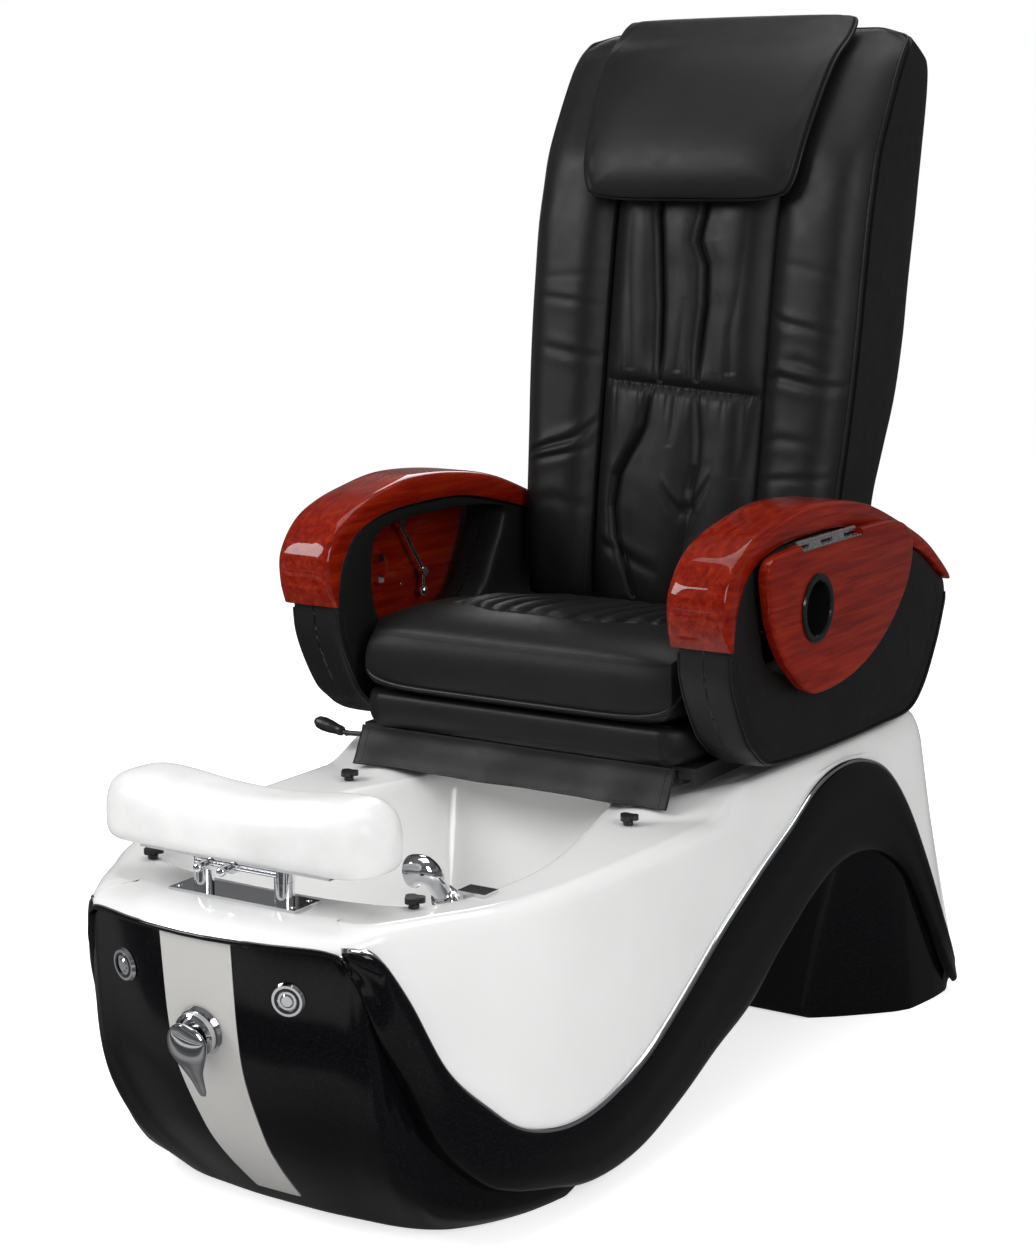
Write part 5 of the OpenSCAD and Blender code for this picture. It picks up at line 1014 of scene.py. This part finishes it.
lift = np.where(v >= -0.5, 10, 0)                      # the upper rings are higher behind the front roll
sides = [perimeter(seat_at(u, v, in_x, in_y, k, low)) for in_x, in_y, low, k in (
    (1, 0, 632 + lift, .055), (0, -2, 608 + lift, .05), (3, -1, 588, .05), (13, 2, 573, .05), (36, 11, 565, .05))]
slab("seat_cushion_skin", seat_at(u, v, 6, 5, 0.07, z), sides, seat_at(u, v, 74, 30, 0.05, 560.3), "seat",
     ("seat_cushion",), times=2)
# cord round the lower front edge, climbing the sides to the rear
along, across_u = np.linspace(0.3, -1, 60), np.linspace(-1, 1, 120)
side_z = np.interp(-along, [-0.3, 0.3, 0.62, 0.85, 1.0], [660, 660, 648, 618, 590])
cord_z = np.r_[side_z, 574.5 + 14 * np.abs(across_u) ** 10, side_z[::-1]]
path = seat_at(np.r_[np.full(60, -1.0), across_u, np.full(60, 1.0)], np.r_[along, np.full(120, -1.0), along[::-1]],
               np.interp(cord_z, [574, 582, 592, 608, 634, 660], [9.0, 4.5, 1.0, -1.0, 0.0, 3.0]),
               np.interp(cord_z, [574, 582, 592, 608, 634], [-0.5, -2.0, -3.0, -3.4, -1.5]), 0.052, cord_z)
tube("seat_cord", resample(blur(path, 0, 14), 300), 0.0036, PIPING, "seat", sides=12)

# ---------------------------------------------------------------- padded roll and hanging skirt
# right half, rear to front: x, y, and the heading in degrees
roll_line = np.array([[252, 392, 90], [252, 260, 90], [252, 130, 90], [252, 30, 90], [251, 6, 80], [246, -6, 52],
                      [238, -12, 22], [226, -14, 0], [120, -14, 0], [20, -14, 0]], float)
roll_section = np.array([(0.3, 508), (17, 508), (24, 518), (26, 533), (25, 549), (22, 557), (15, 560), (0.3, 559.5)])
proud, z = np.vstack([roll_section[:1], chaikin(roll_section[1:7]), roll_section[7:]]).T
k = np.concatenate([np.linspace(0, 3, 30), np.linspace(3.1, 7, 40), np.linspace(7.1, 9, 40)])
x, y, heading = spl(roll_line, k).T[..., None]
heading = np.radians(np.clip(heading, 0, 90))
half = xyz(x + proud * np.sin(heading), y - proud * np.cos(heading), z)
rings = np.concatenate([half * MIRROR, half[::-1]])
wobble = 0.8 * noise1(np.arange(len(rings)) * 0.11, 61, 2)[:, None] * np.interp(proud, [2, 20], [0, 1])
rings[..., 1] += np.where(np.abs(rings[..., 0]) < 235, wobble, 0)
loft("valance_roll_skin", to_m(rings), LEATHER, "seat", ("valance_roll",), angle=70)

# down the skirt: z, y and how far it waves
skirt_rows = np.array([[507, -38, 0], [497, -40, 1], [482, -46, 3], [465, -53, 4], [452, -60, 5]], float)
t = np.linspace(-1, 1, 160)[None]
z, y, sway = spl(skirt_rows, np.linspace(0, 4, 30)).T[..., None]
fold = sway * 0.5 * (np.sin(np.radians(t * 430)) + 0.4 * np.sin(np.radians(t * 900 + 40)))
fold += sway * (0.12 * noise1(t * 5 + 3, 62, 2) - 0.6 * smooth((np.abs(t) - 0.8) / 0.2))
P = to_m(xyz(t * (268 - sway * 0.2), y + fold, z))
sk = make("skirt_flap_sheet", P, grid_faces(*P.shape[:2], False), LEATHER, "seat", ("skirt_flap",))
m = sk.modifiers.new("thickness", "SOLIDIFY")
m.thickness = 0.0016
m.offset = 0
hem = [stitches(name, q - [0, 0.0012, 0], "seat") for name, q in (
    ("skirt_hem_low", P[-4, 2:-2]), ("skirt_side_left", P[2:-3, 4]), ("skirt_side_right", P[2:-3, -5]))]
for o in [sk] + hem:
    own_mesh(o)

# ---------------------------------------------------------------- footrest pad
# right half, end to middle: share of the half width, half depth, underside, top
pad_rows = np.array([(1, 5, 24, 50), (.985, 20, 13, 64), (.94, 39, 5, 78), (.86, 55, 1, 88), (.74, 65, 0, 93),
                     (.55, 66, 0, 91), (.35, 66, 0, 86), (.17, 66, 0, 83), (0, 66, 0, 82)], float)
PAD_W, PAD_Y, PAD_Z = 218.0, -655 * KY + DY, 488 * KZ + 3      # half width, middle, top of the carriage
half = spl(pad_rows, np.r_[np.linspace(0, 1, 9), np.linspace(1.1, 4, 28), np.linspace(4.15, 8, 26)])
share, deep, low, high = np.vstack([half, half[-2::-1] * [-1, 1, 1, 1]]).T[..., None]
c, s = np.cos(circle(96)), np.sin(circle(96))
c, s = np.sign(c) * np.abs(c) ** 0.62, np.sign(s) * np.abs(s) ** np.where(s > 0, 0.8, 0.45)
mid = lerp(low, high, 0.42)
z = np.maximum(0, mid + np.where(s > 0, high - mid, mid - low) * s)
rings = xyz(PAD_W * share, PAD_Y + np.maximum(deep, 3) * c, PAD_Z + z) / 1000
loft("footrest_pad_skin", rings, VINYL, "footrest", ("footrest_pad",))


# ---------------------------------------------------------------- toe hardware
def frame_at(p, out):
    """A point of the toe and its axes: across, up along the face, out of it."""
    n = unit(np.asarray(out, float))
    a = unit(np.cross([0, 0, 1.0], n))
    return np.array([p, a, np.cross(n, a), n])


def on(fr, *q):
    return (fr[0] + xyz(*q) @ fr[1:]) / 1000


# mixer lever, from its hub to its tip: place up the face, half width, height over the hub, half thickness
lever_rows = np.array([[24, 6, 26, 5], [18, 18, 24, 12], [8, 27, 22, 19], [-4, 30, 22, 21], [-18, 28, 23, 18],
                       [-32, 22, 21, 13], [-46, 15, 18, 9], [-62, 10, 13, 7], [-78, 7, 9, 5], [-85, 4, 8, 3]], float)
HUB_TOP = 7.3
place, wide, high, thick = spl(lever_rows, np.r_[np.linspace(0, 1, 10), np.linspace(1.1, 9, 70)]).T[..., None]
c, s = np.cos(circle(64)), np.sin(circle(64))
ridge = np.where(c > 0, 0.2, 0.75)
dish = 1 - 0.18 * bell(s / 0.35) * smooth((-place - 20) / 20) * (c < 0)
toe = frame_at((0, -758.242 + DY, 293.317), (0, -0.98508, -0.172106))
loft("mixer_lever_blade", on(toe, -wide * s, place, HUB_TOP + high - thick * c * ridge * dish), CHROME,
     "mixer_lever", ("mixer_lever",))
# dark ring inside each chrome bezel: radius, height
ring_section = [(13.2, 5.0), (16.3, 5.0), (16.6, 5.25), (16.3, 5.5), (13.4, 5.5), (13.1, 5.2)]
c, s = np.cos(circle(72)), np.sin(circle(72))
for side, nm in SIDES:
    fr = frame_at((side * 128.536, -749.298 + DY, 352.584), (side * 0.262533, -0.961361, -0.0828384))
    loft("button_ring_" + nm, [on(fr, r * c, r * s, z) for r, z in ring_section], INK, "base", loop=True, angle=35)

# hand shower: one plated body that swells from the socket and turns into the spray head
ax, ay = math.radians(33), math.radians(-6)
tilt = (np.array([[math.cos(ay), 0, math.sin(ay)], [0, 1, 0], [-math.sin(ay), 0, math.cos(ay)]])
        @ [[1, 0, 0], [0, math.cos(ax), -math.sin(ax)], [0, math.sin(ax), math.cos(ax)]])
SHOWER = np.array([193 * KX, -503 * KY + DY, 420 * KZ])
# along the body: x and z of its middle, radius; stepped up to row 7, smooth to 12, and then the rim
shower_rows = np.array([
    [0, -62, 10], [0, -16, 10], [0, -14, 12.8], [0, 9.6, 12.8], [0, 10.2, 16.2], [0, 15.6, 16.2], [0, 16.4, 12.4],
    [0, 30, 12.8], [-0.6, 42, 14.2], [-3, 52, 16.4], [-9, 58.5, 18.6], [-17, 58.6, 20.4], [-24, 56.6, 21.6],
    [-26.4, 56, 21.4], [-27.2, 55.8, 20.2], [-26.6, 55.9, 18.6], [-26.8, 55.9, 16.0]], float)
k = np.unique(np.r_[0:len(shower_rows), np.linspace(7, 12, 60)])
stepped = k != np.clip(k, 7, 12)
q = spl(shower_rows, k)
q[stepped] = shower_rows[k[stepped].astype(int)]
x, z, r = q.T[..., None]
bend = np.interp(k, [0, 7.5, 9, 10, 11, 12, 16], [0, 0, 0.42, 0.95, 1.4, 1.72, 1.8])[:, None]
c, s = np.cos(circle(48)), np.sin(circle(48))
rings = xyz(x + r * c * np.cos(bend), r * s, z + r * c * np.sin(bend)) @ tilt.T + SHOWER
loft("hand_shower_body", rings / 1000, CHROME, "hand_shower", ("hand_shower",), angle=32)


# ---------------------------------------------------------------- stage, light and camera
def grey(v, blue=0.0):
    return (v, v, v + blue)


def paper():
    """White floor; mirrors see it dim, with soft bright bands ahead of the toe."""
    m = bpy.data.materials.new("stage_paper")
    m.use_nodes = True
    nt = m.node_tree
    nt.nodes.remove(nt.nodes["Principled BSDF"])
    at = node(nt, "TexCoord").outputs["Object"]
    ray = node(nt, "LightPath").outputs
    sheet = node(nt, "BsdfDiffuse", {"Color": ramp(nt, noise(nt, at, 1.5, 2), [(0.3, grey(0.80)), (0.7, grey(0.82))])})
    glow = node(nt, "Emission", {"Color": grey(1), "Strength": math_node(nt, "MULTIPLY", ray["Is Camera Ray"], 0.62)})
    lit = node(nt, "AddShader", {0: sheet.outputs[0], 1: glow.outputs[0]})
    wave = node(nt, "TexWave", {"Vector": at, "Scale": 0.55, "Distortion": 1.2, "Detail": 1.0}, bands_direction="Y")
    bands = ramp(nt, wave.outputs["Fac"], [
        (0.0, grey(0.05, 0.002)), (0.45, grey(0.10, 0.002)), (0.75, grey(0.50, 0.005)), (1.0, grey(0.62, 0.005))])
    ahead = remap(nt, node(nt, "SeparateXYZ", {0: at}).outputs["Y"], -0.7, -1.3, 0.0, 1.0)
    dim = node(nt, "Emission", {"Color": mix(nt, grey(0.10, 0.002), bands, ahead)})
    seen = node(nt, "MixShader", {0: ray["Is Glossy Ray"], 1: lit.outputs[0], 2: dim.outputs[0]})
    nt.links.new(seen.outputs[0], nt.nodes["Material Output"].inputs["Surface"])
    return m


bpy.ops.mesh.primitive_plane_add(size=16, location=(0, 0, 0))
floor = bpy.context.object
floor.name = "stage_floor"
floor.data.materials.append(paper())

scene = bpy.context.scene
scene.world = scene.world or bpy.data.worlds.new("studio")
scene.world.use_nodes = True
wt = scene.world.node_tree
wt.nodes.clear()
ray = node(wt, "LightPath").outputs
height = node(wt, "SeparateXYZ", {0: node(wt, "TexCoord").outputs["Generated"]}).outputs["Z"]
room = ramp(wt, remap(wt, height, -0.1, 0.9, 0.0, 1.0), [
    (0.0, grey(0.16, 0.002)), (0.3, grey(0.06, 0.001)), (0.45, grey(0.20, 0.002)), (0.6, grey(0.07, 0.001)),
    (1.0, grey(0.16, 0.002))])
light = mix(wt, grey(0.46), room, ray["Is Glossy Ray"])
straight = math_node(wt, "MAXIMUM", ray["Is Camera Ray"], ray["Is Transmission Ray"])
sky = node(wt, "Background", {"Color": mix(wt, light, grey(1.0), straight), "Strength": 1.0})
node(wt, "OutputWorld", {"Surface": sky.outputs[0]})


def softbox(name, at, aim, size, watts):
    d = bpy.data.lights.new(name, "AREA")
    d.shape = "RECTANGLE"
    d.size, d.size_y = size
    d.energy = watts
    o = bpy.data.objects.new(name, d)
    o.location = at
    o.rotation_euler = (Vector(aim) - Vector(at)).to_track_quat("-Z", "Y").to_euler()
    scene.collection.objects.link(o)


softbox("key_left", (-2.6, -2.7, 3.0), (0, -0.1, 0.7), (1.5, 1.9), 112)
softbox("fill_right", (3.2, -1.6, 2.2), (0, 0, 0.7), (1.1, 2.0), 55)
softbox("top_soft", (0.2, 0.4, 3.7), (0, 0, 0.6), (2.4, 2.4), 46)
softbox("rear_rim", (-1.6, 3.2, 2.6), (0, 0.2, 0.9), (1.4, 1.4), 24)

cam = bpy.data.cameras.new("camera")
cam.sensor_fit = "VERTICAL"
cam.sensor_height = 36
cam.lens = 71.76
co = bpy.data.objects.new("camera", cam)
co.location = (1.8942, -3.0252, 1.3489)
co.rotation_euler = (math.radians(79.498), 0, math.radians(32.201))
scene.collection.objects.link(co)
scene.camera = co
scene.view_settings.view_transform = "Standard"
